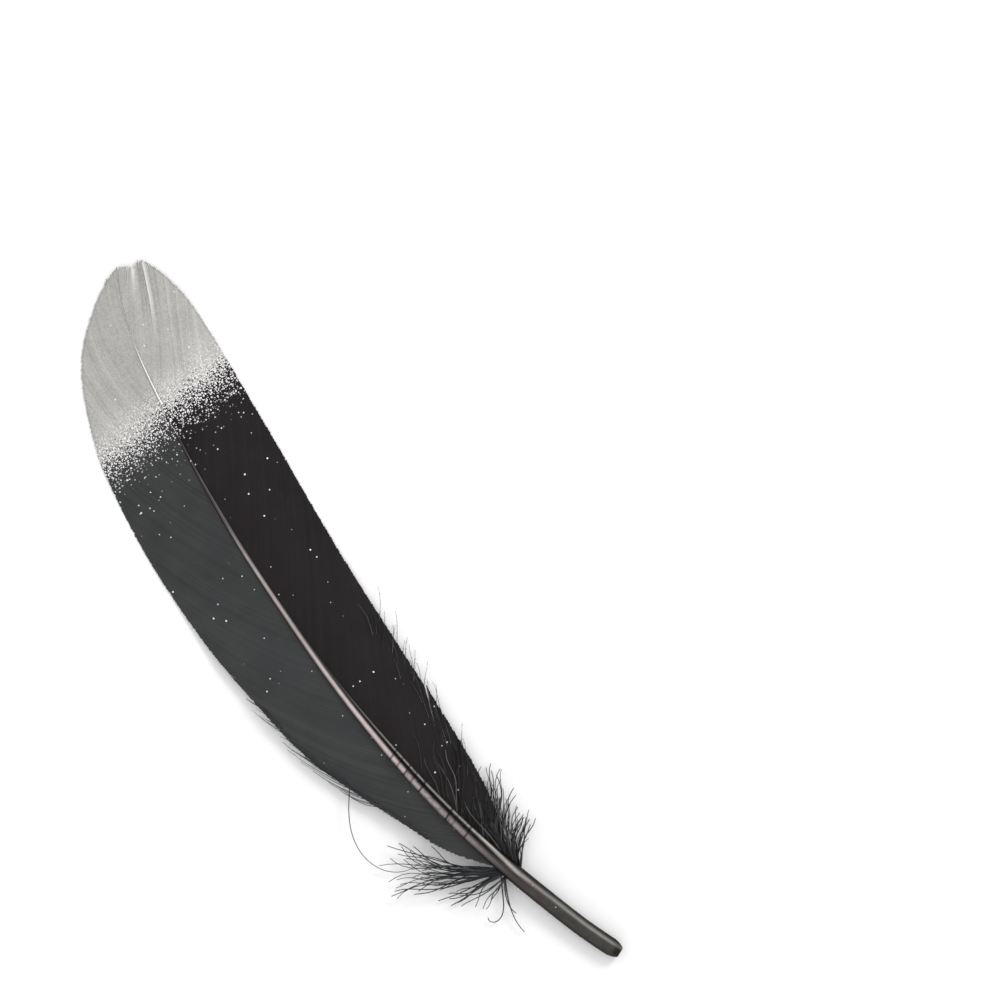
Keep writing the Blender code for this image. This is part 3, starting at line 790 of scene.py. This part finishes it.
def fringe_layers(fringe, settings):
    """Barbs that have come apart along a vane's lower edge and stand out from it."""
    rng = np.random.default_rng(settings.seed + FRINGE_SEED + fringe.side)
    count, side = fringe.count, fringe.side
    share = spread(count, rng)
    s = (fringe.stations[0] + (fringe.stations[1] - fringe.stations[0]) * share) * MM
    inset = rng.uniform(*fringe.insets, count) * MM
    d = side * np.maximum(outline(side, s) - inset, FRINGE_NEAREST)
    lean = rng.uniform(*fringe.leans, count)
    length = rng.uniform(*fringe.lengths, count) * MM
    curl = rng.uniform(*FRINGE_CURLS, count)
    low = vane_height(side, s, d) + rng.uniform(*FRINGE_ROOTS, count) * MM
    tip = np.maximum(low + rng.uniform(*FRINGE_ENDS, count) * MM, FRINGE_LOWEST)
    arch = rng.uniform(*FRINGE_ARCHES, count) * MM
    paths = strand_paths(
        side, s, d, lean, curl, length, low, tip, arch, FRINGE_RINGS, rng, FRINGE_WAVE,
        STRAND_BEND,
    )
    sizes = (FRINGE_BARBULE, fringe.barbule * MM)
    return strand_layers(paths, fringe.thick * MM, FRINGE_TIP, rng, fringe.spacing * MM, sizes)


def hair_columns(rows):
    """The columns of a table of single hairs: stations, offsets, leans, curls, lengths, bends."""
    s, d, lean, length, curl, bend = np.array(rows, float).T
    return s * MM, d * MM, lean, curl, length * MM, bend


def stray_layers(settings):
    """The long barb that hangs loose, and the hairs beside the vane and over the shaft."""
    rng = np.random.default_rng(settings.seed + HAIR_SEED)
    s, d, lean, curl, length, bend = hair_columns(STRAY_BARB)
    low = vane_height(1, s, d)
    tip, arch = np.full(len(s), STRAY_HEIGHT), np.zeros(len(s))
    paths = strand_paths(
        1, s, d, lean, curl, length, low, tip, arch, rings=40, rng=rng, wave=0.5, bend=bend
    )
    layers = strand_layers(
        paths, 0.15 * MM, 0.095 * MM, rng, spacing=0.5 * MM, sizes=(0.1 * MM, 0.35 * MM)
    )
    s, d, lean, curl, length, bend = hair_columns(LOOSE_HAIRS)
    low = vane_height(1, s, d)
    tip, arch = low * 0.4, np.zeros(len(s))
    paths = strand_paths(
        1, s, d, lean, curl, length, low, tip, arch, rings=24, rng=rng, wave=4.0, bend=bend
    )
    stout = (s < THICK_HAIRS_TO * MM)[:, None]
    thick, thin = np.where(stout, 0.20, 0.11) * MM, np.where(stout, 0.10, 0.05) * MM
    layers += strand_layers(
        paths, thick, thin, rng, spacing=0.35 * MM, sizes=(0.1 * MM, 0.3 * MM)
    )
    s, d, lean, curl, length, bend = hair_columns(CROSSING_HAIRS)
    low = axis_height(s) + 0.35 * shaft_half_width(s)
    tip, arch = low - 0.4 * MM, (axis_height(s) + shaft_half_width(s) - low) * 0.9
    paths = strand_paths(
        1, s, d, lean, curl, length, low, tip, arch, rings=16, rng=rng, wave=5.0, bend=bend
    )
    layers += strand_layers(
        paths, 0.06 * MM, 0.025 * MM, rng, spacing=0.7 * MM, sizes=(0.15 * MM, 0.5 * MM)
    )
    return layers


def paint_line():
    """A point on the paint's edge and the direction square to it, towards the tip."""
    at = np.array(on_plan(PAINT_STATION, 0.0))
    along = np.array(on_plan(PAINT_STATION + PAINT_SLANT * MM, MM)) - at
    return at, np.array([along[1], -along[0]]) / np.hypot(*along)


class Sum:
    """A shader socket that takes part in Python sums, each of which adds a Math node."""

    def __init__(self, shader, socket):
        self.shader, self.socket = shader, socket

    def math(self, operation, *others, turned=False, **settings):
        values = [self, *others]
        if turned:
            values.reverse()
        settings["operation"] = operation
        node = self.shader.add("ShaderNodeMath", settings, dict(enumerate(values)))
        return Sum(self.shader, node.outputs[0])

    def __add__(self, other):
        return self.math("ADD", other)

    __radd__ = __add__

    def __sub__(self, other):
        return self.math("SUBTRACT", other)

    def __rsub__(self, other):
        return self.math("SUBTRACT", other, turned=True)

    def __mul__(self, other):
        return self.math("MULTIPLY", other)

    __rmul__ = __mul__

    def __pow__(self, other):
        return self.math("POWER", other)

    def __lt__(self, other):
        return self.math("LESS_THAN", other)

    def most(self, other):
        return self.math("MAXIMUM", other)

    def held(self):
        """The value, kept between 0 and 1."""
        return self.math("ADD", 0.0, use_clamp=True)

    def rise(self, low, high):
        """0 below low and 1 above high, with a smooth rise between."""
        settings = {"interpolation_type": "SMOOTHSTEP"}
        links = {"Value": self, "From Min": low, "From Max": high}
        node = self.shader.add("ShaderNodeMapRange", settings, links)
        return Sum(self.shader, node.outputs["Result"])

    def hill(self, middle, width):
        """1 at middle, falling smoothly to 0 at width from it."""
        return 1.0 - (self - middle).math("ABSOLUTE").rise(0.0, width)


class Shader:
    """A new material and its nodes."""

    def __init__(self, name):
        self.material = bpy.data.materials.new(name)
        self.material.use_nodes = True
        self.tree = self.material.node_tree
        self.surface = self.tree.nodes["Principled BSDF"]
        self.place = self.add("ShaderNodeTexCoord").outputs["Object"]

    def add(self, kind, settings=None, inputs=None):
        """A node of that type, with its settings and the values or links of its sockets."""
        node = self.tree.nodes.new(kind)
        for setting, value in (settings or {}).items():
            setattr(node, setting, value)
        for socket, value in (inputs or {}).items():
            self.feed(node.inputs[socket], value)
        return node

    def feed(self, socket, value):
        if isinstance(value, Sum):
            value = value.socket
        if isinstance(value, bpy.types.NodeSocket):
            self.tree.links.new(value, socket)
        else:
            socket.default_value = value

    def set(self, **inputs):
        """Sets the surface's inputs, with _ for a space in a name."""
        for name, value in inputs.items():
            self.feed(self.surface.inputs[name.replace("_", " ")], value)
        return self.material

    def kept(self, label):
        """A value kept on the mesh's points."""
        node = self.add("ShaderNodeAttribute", {"attribute_name": label})
        return Sum(self, node.outputs["Fac"])

    def vector(self, operation, *values):
        return self.add("ShaderNodeVectorMath", {"operation": operation}, dict(enumerate(values)))

    def scaled(self, size):
        """Coordinates in which one unit is size metres."""
        return self.vector("MULTIPLY", self.place, (1 / size,) * 3).outputs["Vector"]

    def noise(self, size, detail=2.0):
        inputs = {"Vector": self.scaled(size), "Scale": 1.0, "Detail": detail}
        return Sum(self, self.add("ShaderNodeTexNoise", None, inputs).outputs["Fac"])

    def dots(self, size):
        """Random dots seen from above: distance from the nearest, and two numbers of its own."""
        inputs = {"Vector": self.scaled(size), "Scale": 1.0}
        node = self.add("ShaderNodeTexVoronoi", {"voronoi_dimensions": "2D"}, inputs)
        parts = self.add("ShaderNodeSeparateColor", None, {"Color": node.outputs["Color"]})
        distance = Sum(self, node.outputs["Distance"])
        return distance, Sum(self, parts.outputs["Red"]), Sum(self, parts.outputs["Green"])

    def mix(self, share, first, second):
        """Blends two colours."""
        inputs = {0: share, 6: colour(first), 7: colour(second)}
        return self.add("ShaderNodeMix", {"data_type": "RGBA"}, inputs).outputs[2]

    def bump(self, height, distance, strength):
        inputs = {"Height": height, "Distance": distance, "Strength": strength}
        return self.add("ShaderNodeBump", None, inputs).outputs["Normal"]


def colour(value):
    """Three numbers as a socket takes them; another socket stays as it is."""
    return value if isinstance(value, bpy.types.NodeSocket) else (*value, 1.0)


def paint_cover(shader):
    """Where silver paint lies: an even field towards the tip that breaks up into specks.

    Returns the field, the specks over and beyond it, and the distance past the paint's edge.
    """
    at, across = paint_line()
    away = shader.vector("SUBTRACT", shader.place, (*at, 0.0)).outputs["Vector"]
    past = shader.vector("DOT_PRODUCT", away, (*across, 0.0)).outputs["Value"]
    past = Sum(shader, past) + (shader.noise(PAINT_WANDER_SIZE) - 0.5) * PAINT_WANDER
    grain = shader.noise(PAINT_GRAIN_SIZE, 3.0) - 0.5
    field = (past + grain * PAINT_GRAIN).rise(*FIELD_SETS_IN)
    singles = past.rise(*SINGLES_SET_IN) ** 2 * SINGLES_SHARE
    likely = (past.rise(*SPECKS_SET_IN) ** SPECKS_POWER).most(singles)
    specks = None
    for size, chance, smallest, largest in PAINT_SPECKS:
        distance, number, bulk = shader.dots(size)
        radius = smallest + (largest - smallest) * bulk
        speck = (number < likely * chance) * (distance < radius)
        bright = DULLEST + (1 - DULLEST) * bulk**2
        speck = speck * bright.most(past.rise(*SPECKS_BRIGHTEN))
        specks = speck if specks is None else specks.most(speck)
    return field, specks * (1.0 - COVERED * past.rise(*FIELD_COVERS)), past


def strewn_flakes(shader, size, chance, smallest, largest):
    """Single flakes of paint strewn over the whole feather, some of them bright."""
    distance, number, bulk = shader.dots(size)
    radius = smallest + (largest - smallest) * bulk
    return (number < chance) * (distance < radius) * (DULLEST + (1 - DULLEST) * bulk)


def vane_material(name, dye, tint, sheen, settings):
    """Dyed barbs, each of its own tone and with painted highlights and painted shade on the folds,
    under the silver paint and its flakes.
    """
    shader = Shader(name)
    tone = shader.kept("tone")
    field, specks, past = paint_cover(shader)
    flakes = strewn_flakes(shader, *VANE_FLAKES)
    streaks = shader.noise(5 * MM, 3.0)
    # Each barb's tone, with the folds' painted highlight and painted shade, blends the dye from
    # darkest to lightest
    light = (tone * 0.65 + streaks * 0.6 - 0.125).held()
    darkest, lightest = (
        tuple(share * part for part in dye) for share in (DARKEST_DYE, LIGHTEST_DYE)
    )
    tinted = shader.noise(9 * MM, 2.0).rise(0.48, 0.68) * 0.5
    dyed = shader.mix(tinted, shader.mix(light, darkest, lightest), tint)
    brushed = (shader.noise(0.9 * MM, 3.0) - 0.5) * 0.3 - past.rise(2 * MM, 13 * MM) * 0.22
    light = (tone * 0.5 + shader.noise(6 * MM, 2.0) * 0.3 + brushed + 0.14).held()
    silver = shader.mix(light, settings.silver_dark, settings.silver_light)
    # Painted highlight: the brightest fold crests in the paint take the bright flake colour
    silver = shader.mix(tone.rise(1.1, 1.8), silver, settings.speck)
    # The silver paint darkens along the vane's edge
    silver = shader.mix(shader.kept("rim") * 0.45, silver, settings.silver_shade)
    painted = shader.mix(field, dyed, silver)
    flecked = shader.mix(specks, painted, settings.speck)
    fine = shader.noise(0.16 * MM, 2.0)
    return shader.set(
        Base_Color=shader.mix(flakes, flecked, settings.speck),
        Metallic=(field * 0.35).most(specks * 0.45).most(flakes * 0.4),
        Roughness=0.52 - field * 0.06 + (shader.noise(0.8 * MM) - 0.5) * 0.15,
        Specular_IOR_Level=sheen,
        Normal=shader.bump(fine + specks * 1.2, 0.02 * MM, 0.6),
    )


def quill_material(name, settings):
    """Dark horn at the quill end with painted shade along its sides, light stripes partly painted
    as a highlight with bars along the rachis, paint at the tip with a painted highlight down the
    shaft.
    """
    shader = Shader(name)
    across, station, tone = (shader.kept(label) for label in ("across", "station", "tone"))
    field, specks, _ = paint_cover(shader)
    bare = station.rise(*BARE_ENDS)
    mottle = shader.noise(1.8 * MM, 3.0)
    blotched = station.rise(*BLOTCHES_SET_IN) * (1.0 - station.rise(*BLOTCHES_END))
    blotch = shader.noise(1.3 * MM, 3.0).rise(0.50, 0.62) * blotched
    # The stripes' lighter horn and painted highlight, mottled, blotched and crossed by dark bars
    lit = tone * (0.72 + 0.56 * mottle) * (1.0 - 0.35 * blotch)
    slanted = station + across * BAR_SLANT
    for at, depth in BARS:
        lit = lit * (1.0 - slanted.hill(at * MM, BAR_WIDTH) * depth)
    rim = 1.0 - station.rise(*END_RIM)
    flakes = strewn_flakes(shader, *SHAFT_FLAKES) * (1.0 - rim)
    # Painted shade: the calamus darkens along its sides and round the rim of its end, leaving its
    # middle lighter
    edge = across.math("ABSOLUTE").rise(0.50, 0.93).most(rim * 0.8)
    middle = (1.0 - edge) * (0.25 + 1.2 * mottle)
    redder = shader.noise(5 * MM, 2.0).rise(0.46, 0.66) * 0.7
    tint = shader.mix(redder, settings.calamus, settings.tint)
    calamus = shader.mix(middle.held(), settings.shade, tint)
    under = shader.mix(bare, calamus, settings.shade)
    # The stripes' colour: the ridge's on the inner side, the band's on the outer, both partly a
    # painted highlight
    horn = shader.mix(across.rise(-0.5, -0.1), settings.horn, settings.band_and_highlight)
    stem = shader.mix(lit.held(), under, horn)
    # On the painted shaft, a painted highlight down its middle and painted shade along its sides,
    # fading where it sinks
    bright = shader.mix(across.hill(0.05, 0.95), settings.silver_shade, settings.speck)
    silver = shader.mix(station.rise(SINK_FROM, SINK_TO), bright, settings.silver_mid)
    painted = shader.mix(field, stem, silver)
    grain = shader.noise(0.5 * MM, 3.0)
    return shader.set(
        Base_Color=shader.mix(specks.most(flakes), painted, settings.speck),
        Metallic=(field * 0.7).most(specks * 0.5),
        Roughness=0.30 + grain * 0.2,
        Specular_IOR_Level=0.08,
        Coat_Weight=(1.0 - edge) * (0.62 - bare * 0.56),
        Coat_Roughness=0.36,
        Normal=shader.bump(grain + mottle, 0.03 * MM, 0.5),
    )


def down_material(name, dark, light):
    """Dyed strands, most of them dark and a few light."""
    shader = Shader(name)
    share = (shader.kept("tone") * 0.8 + shader.noise(4 * MM) * 0.4).held() ** 4
    return shader.set(
        Base_Color=shader.mix(share, dark, light),
        Roughness=0.5 + shader.noise(1.0 * MM) * 0.2,
        Specular_IOR_Level=0.35,
    )


def colour_property(name, description, default):
    return bpy.props.FloatVectorProperty(
        name=name, description=description, default=default, size=3, subtype="COLOR", min=0, max=1
    )


def number_property(name, description, default, **limits):
    return bpy.props.FloatProperty(name=name, description=description, default=default, **limits)


def count_property(name, description, default, **limits):
    return bpy.props.IntProperty(name=name, description=description, default=default, **limits)


def length_property(name, description, default):
    return number_property(name, description, default, min=0, unit="LENGTH", precision=5)


class FeatherVaneSettings(bpy.types.PropertyGroup):
    spacing: number_property(
        "Spacing", "Distance between barbs, over a real feather's", 1.0, min=0.5, max=10
    )
    rings: count_property("Rings", "Rings of points along a barb", 24, min=4, max=60)
    overlap: number_property("Overlap", "Width of a barb over its distance to the next", 1.5)
    ridge: length_property("Ridge", "Half the thickness of a barb", 0.045 * MM)
    lap: number_property("Lap", "Slope by which a barb's front edge lies over the next", 0.07)
    ragged: length_property("Raggedness", "How uneven the vane's edge is", 0.04 * MM)
    relief: length_property("Relief", "How far groups of barbs rise and sink", 0.11 * MM)
    seed: count_property("Seed", "Picks the random pattern", 3)


class FeatherShaftSettings(bpy.types.PropertyGroup):
    rings: count_property("Rings", "Rings of points along the shaft", 102, min=20, max=102)
    sides: count_property("Sides", "Points round the shaft", 64, min=8, max=96)
    groove: number_property("Groove", "Depth of the groove over the half width", 0.46)
    ridge: number_property("Ridge", "Height of the inner ridge over the half width", 0.10)


class FeatherDownSettings(bpy.types.PropertyGroup):
    rings: count_property("Rings", "Rings of points along a strand", 16, min=4, max=60)
    thick: length_property("Root Radius", "Radius of a strand at its root", 0.18 * MM)
    thin: length_property("Tip Radius", "Radius of a strand at its tip", 0.095 * MM)
    spacing: length_property("Barbule Spacing", "Distance between barbules", 0.15 * MM)
    barbule: length_property("Barbule Length", "The longest barbules", 0.38 * MM)
    wave: number_property("Wave", "How far strands wander, in degrees", 23.0)
    seed: count_property("Seed", "Picks the random pattern", 5)


class FeatherFinishSettings(bpy.types.PropertyGroup):
    # The two vanes share one dye; the outer is painted lighter as a sheen and the inner darker as
    # shade
    outer_dye_and_sheen: colour_property("Outer Dye", "Dye of the outer vane", (0.0190, 0.0198, 0.0200))
    inner_dye_and_shade: colour_property("Inner Dye", "Dye of the inner vane", (0.0080, 0.0066, 0.0072))
    outer_tint: colour_property("Outer Tint", "Bluer parts of that vane", (0.0180, 0.0232, 0.0255))
    inner_tint: colour_property("Inner Tint", "Redder parts of that vane", (0.0125, 0.0082, 0.0088))
    outer_sheen: number_property("Outer Sheen", "Gloss of the outer vane", 0.36, min=0, max=1)
    inner_sheen: number_property("Inner Sheen", "Gloss of the inner vane", 0.14, min=0, max=1)
    silver_dark: colour_property("Silver Dark", "Silver paint in the shade", (0.305, 0.298, 0.282))
    silver_light: colour_property("Silver Light", "Silver paint in the light", (0.65, 0.636, 0.608))
    # Also the painted highlight on the brightest fold crests and down the middle of the painted
    # shaft
    speck: colour_property("Specks", "Bright flakes of the paint", (0.88, 0.86, 0.87))
    silver_mid: colour_property("Silver Middle", "Paint over the sunk shaft", (0.46, 0.45, 0.43))
    silver_shade: colour_property("Silver Shade", "Paint along edges", (0.17, 0.17, 0.17))
    calamus: colour_property("Quill", "The bare end of the shaft", (0.036, 0.034, 0.027))
    tint: colour_property("Quill Tint", "Redder parts of the bare end", (0.034, 0.020, 0.017))
    shade: colour_property("Shaft Shade", "The shaft's groove and sides", (0.006, 0.0045, 0.0045))
    # Colours of the shaft's light face and inner ridge: lighter horn with a painted highlight
    band_and_highlight: colour_property("Shaft Band", "The shaft's light upper face", (0.66, 0.56, 0.56))
    horn: colour_property("Shaft Ridge", "The shaft's light inner ridge", (0.61, 0.585, 0.55))
    down_dark: colour_property("Down Dark", "Down in the shade", (0.0055, 0.0062, 0.0072))
    outer_light: colour_property("Outer Light", "Outer down in the light", (0.125, 0.135, 0.145))
    inner_light: colour_property("Inner Light", "Inner down in the light", (0.135, 0.128, 0.130))


class FeatherStageSettings(bpy.types.PropertyGroup):
    floor_size: length_property("Floor Size", "Side of the floor", 6.0)
    camera_distance: length_property("Camera Distance", "Camera's height over the floor", 1.4)
    view_width: length_property("View Width", "Width that the picture takes in", 0.2102)
    view_turn: number_property(
        "View Turn", "Turn of the camera about the vertical", math.radians(-125.3), subtype="ANGLE"
    )
    key_power: number_property("Key Power", "Power of the main light, in watts", 3.7, min=0)
    key_size: length_property("Key Size", "Side of the main light", 0.3)
    fill: number_property("Fill", "Brightness of the surroundings", 0.925, min=0)


class FEATHER_OT_shaft(bpy.types.Operator):
    """Build the shaft from the quill end to the tip"""

    bl_idname = "feather.shaft"
    bl_label = "Build Shaft"
    bl_options = {"REGISTER", "UNDO"}

    def execute(self, context):
        settings = context.scene
        piece = make_piece("shaft", shaft_layer(settings.feather_shaft), sharp=35.0)
        finish_piece(piece, quill_material("quill", settings.feather_finish))
        return {"FINISHED"}


class FEATHER_OT_vanes(bpy.types.Operator):
    """Build both vanes barb by barb"""

    bl_idname = "feather.vanes"
    bl_label = "Build Vanes"
    bl_options = {"REGISTER", "UNDO"}

    def execute(self, context):
        finish = context.scene.feather_finish
        for name, side, dye, tint, sheen in (
            ("outer_vane", 1, finish.outer_dye_and_sheen, finish.outer_tint, finish.outer_sheen),
            ("inner_vane", -1, finish.inner_dye_and_shade, finish.inner_tint, finish.inner_sheen),
        ):
            piece = make_piece(name, vane_layer(side, context.scene.feather_vanes))
            finish_piece(piece, vane_material(name, dye, tint, sheen, finish))
        return {"FINISHED"}


class FEATHER_OT_down(bpy.types.Operator):
    """Build the down, the loose barbs at the vanes' edges and the stray hairs"""

    bl_idname = "feather.down"
    bl_label = "Build Down"
    bl_options = {"REGISTER", "UNDO"}

    def execute(self, context):
        settings = context.scene.feather_down
        finish = context.scene.feather_finish
        outer = down_material("outer_strands", finish.down_dark, finish.outer_light)
        inner = down_material("inner_strands", finish.down_dark, finish.inner_light)
        dye = finish.outer_dye_and_sheen
        loose = down_material("loose_barbs", dye, tuple(LIGHTEST_LOOSE * part for part in dye))
        for (name, tufts), material in zip(TUFTS.items(), (outer, inner)):
            layers = [layer for tuft in tufts for layer in tuft_layers(tuft, settings)]
            finish_piece(make_piece(name, *layers), material)
        for (name, fringe), material in zip(FRINGES.items(), (loose, inner)):
            piece = make_piece(name, *fringe_layers(fringe, settings))
            finish_piece(piece, material)
        finish_piece(make_piece("stray_hairs", *stray_layers(settings)), outer)
        return {"FINISHED"}


class FEATHER_OT_stage(bpy.types.Operator):
    """Set up the floor, the lights and the camera"""

    bl_idname = "feather.stage"
    bl_label = "Build Stage"
    bl_options = {"REGISTER", "UNDO"}

    def execute(self, context):
        settings = context.scene.feather_stage
        bpy.ops.object.select_all(action="DESELECT")
        bpy.ops.mesh.primitive_plane_add(size=settings.floor_size, location=(*VIEW_CENTRE, 0.0))
        floor = context.active_object
        floor.name = "floor"
        shader = Shader("floor")
        white = shader.mix(shader.noise(0.3), *FLOOR_WHITES)
        floor.data.materials.append(shader.set(Base_Color=white, Roughness=0.9))

        place = tuple(KEY_DISTANCE * part for part in KEY_WAY)
        bpy.ops.object.light_add(type="AREA", location=place)
        key = context.active_object
        key.name = "key_light"
        key.data.size = settings.key_size
        key.data.energy = settings.key_power
        key.rotation_euler = Vector(place).to_track_quat("Z", "Y").to_euler()

        world = bpy.data.worlds.new("studio")
        world.use_nodes = True
        background = world.node_tree.nodes["Background"]
        background.inputs["Color"].default_value = (1.0, 1.0, 1.0, 1.0)
        background.inputs["Strength"].default_value = settings.fill
        context.scene.world = world

        bpy.ops.object.camera_add(
            location=(*VIEW_CENTRE, settings.camera_distance),
            rotation=(0.0, 0.0, settings.view_turn),
        )
        camera = context.active_object
        camera.name = "camera"
        camera.data.sensor_width = SENSOR
        camera.data.lens = SENSOR * settings.camera_distance / settings.view_width
        camera.data.clip_start = 0.01
        context.scene.camera = camera
        context.scene.view_settings.view_transform = "Standard"
        return {"FINISHED"}


class FEATHER_PT_panel(bpy.types.Panel):
    """Builds the feather and holds its settings"""

    bl_idname = "FEATHER_PT_panel"
    bl_label = "Goose Quill Feather"
    bl_space_type = "VIEW_3D"
    bl_region_type = "UI"
    bl_category = "Feather"

    def draw(self, context):
        for group, operator in STEPS:
            box = self.layout.box()
            settings = getattr(context.scene, group)
            for name in settings.__annotations__:
                box.prop(settings, name)
            if operator:
                box.operator(operator)


STEPS = (
    ("feather_shaft", "feather.shaft"),
    ("feather_vanes", "feather.vanes"),
    ("feather_down", "feather.down"),
    ("feather_finish", None),
    ("feather_stage", "feather.stage"),
)
GROUPS = {
    "feather_shaft": FeatherShaftSettings,
    "feather_vanes": FeatherVaneSettings,
    "feather_down": FeatherDownSettings,
    "feather_finish": FeatherFinishSettings,
    "feather_stage": FeatherStageSettings,
}
CLASSES = (
    *GROUPS.values(),
    FEATHER_OT_shaft,
    FEATHER_OT_vanes,
    FEATHER_OT_down,
    FEATHER_OT_stage,
    FEATHER_PT_panel,
)


def register():
    for item in CLASSES:
        bpy.utils.register_class(item)
    for name, group in GROUPS.items():
        setattr(bpy.types.Scene, name, bpy.props.PointerProperty(type=group))


def unregister():
    for name in GROUPS:
        delattr(bpy.types.Scene, name)
    for item in reversed(CLASSES):
        bpy.utils.unregister_class(item)


def main():
    register()
    bpy.ops.feather.shaft()
    bpy.ops.feather.vanes()
    bpy.ops.feather.down()
    bpy.ops.feather.stage()
    bpy.context.view_layer.update()


if __name__ == "__main__":
    main()
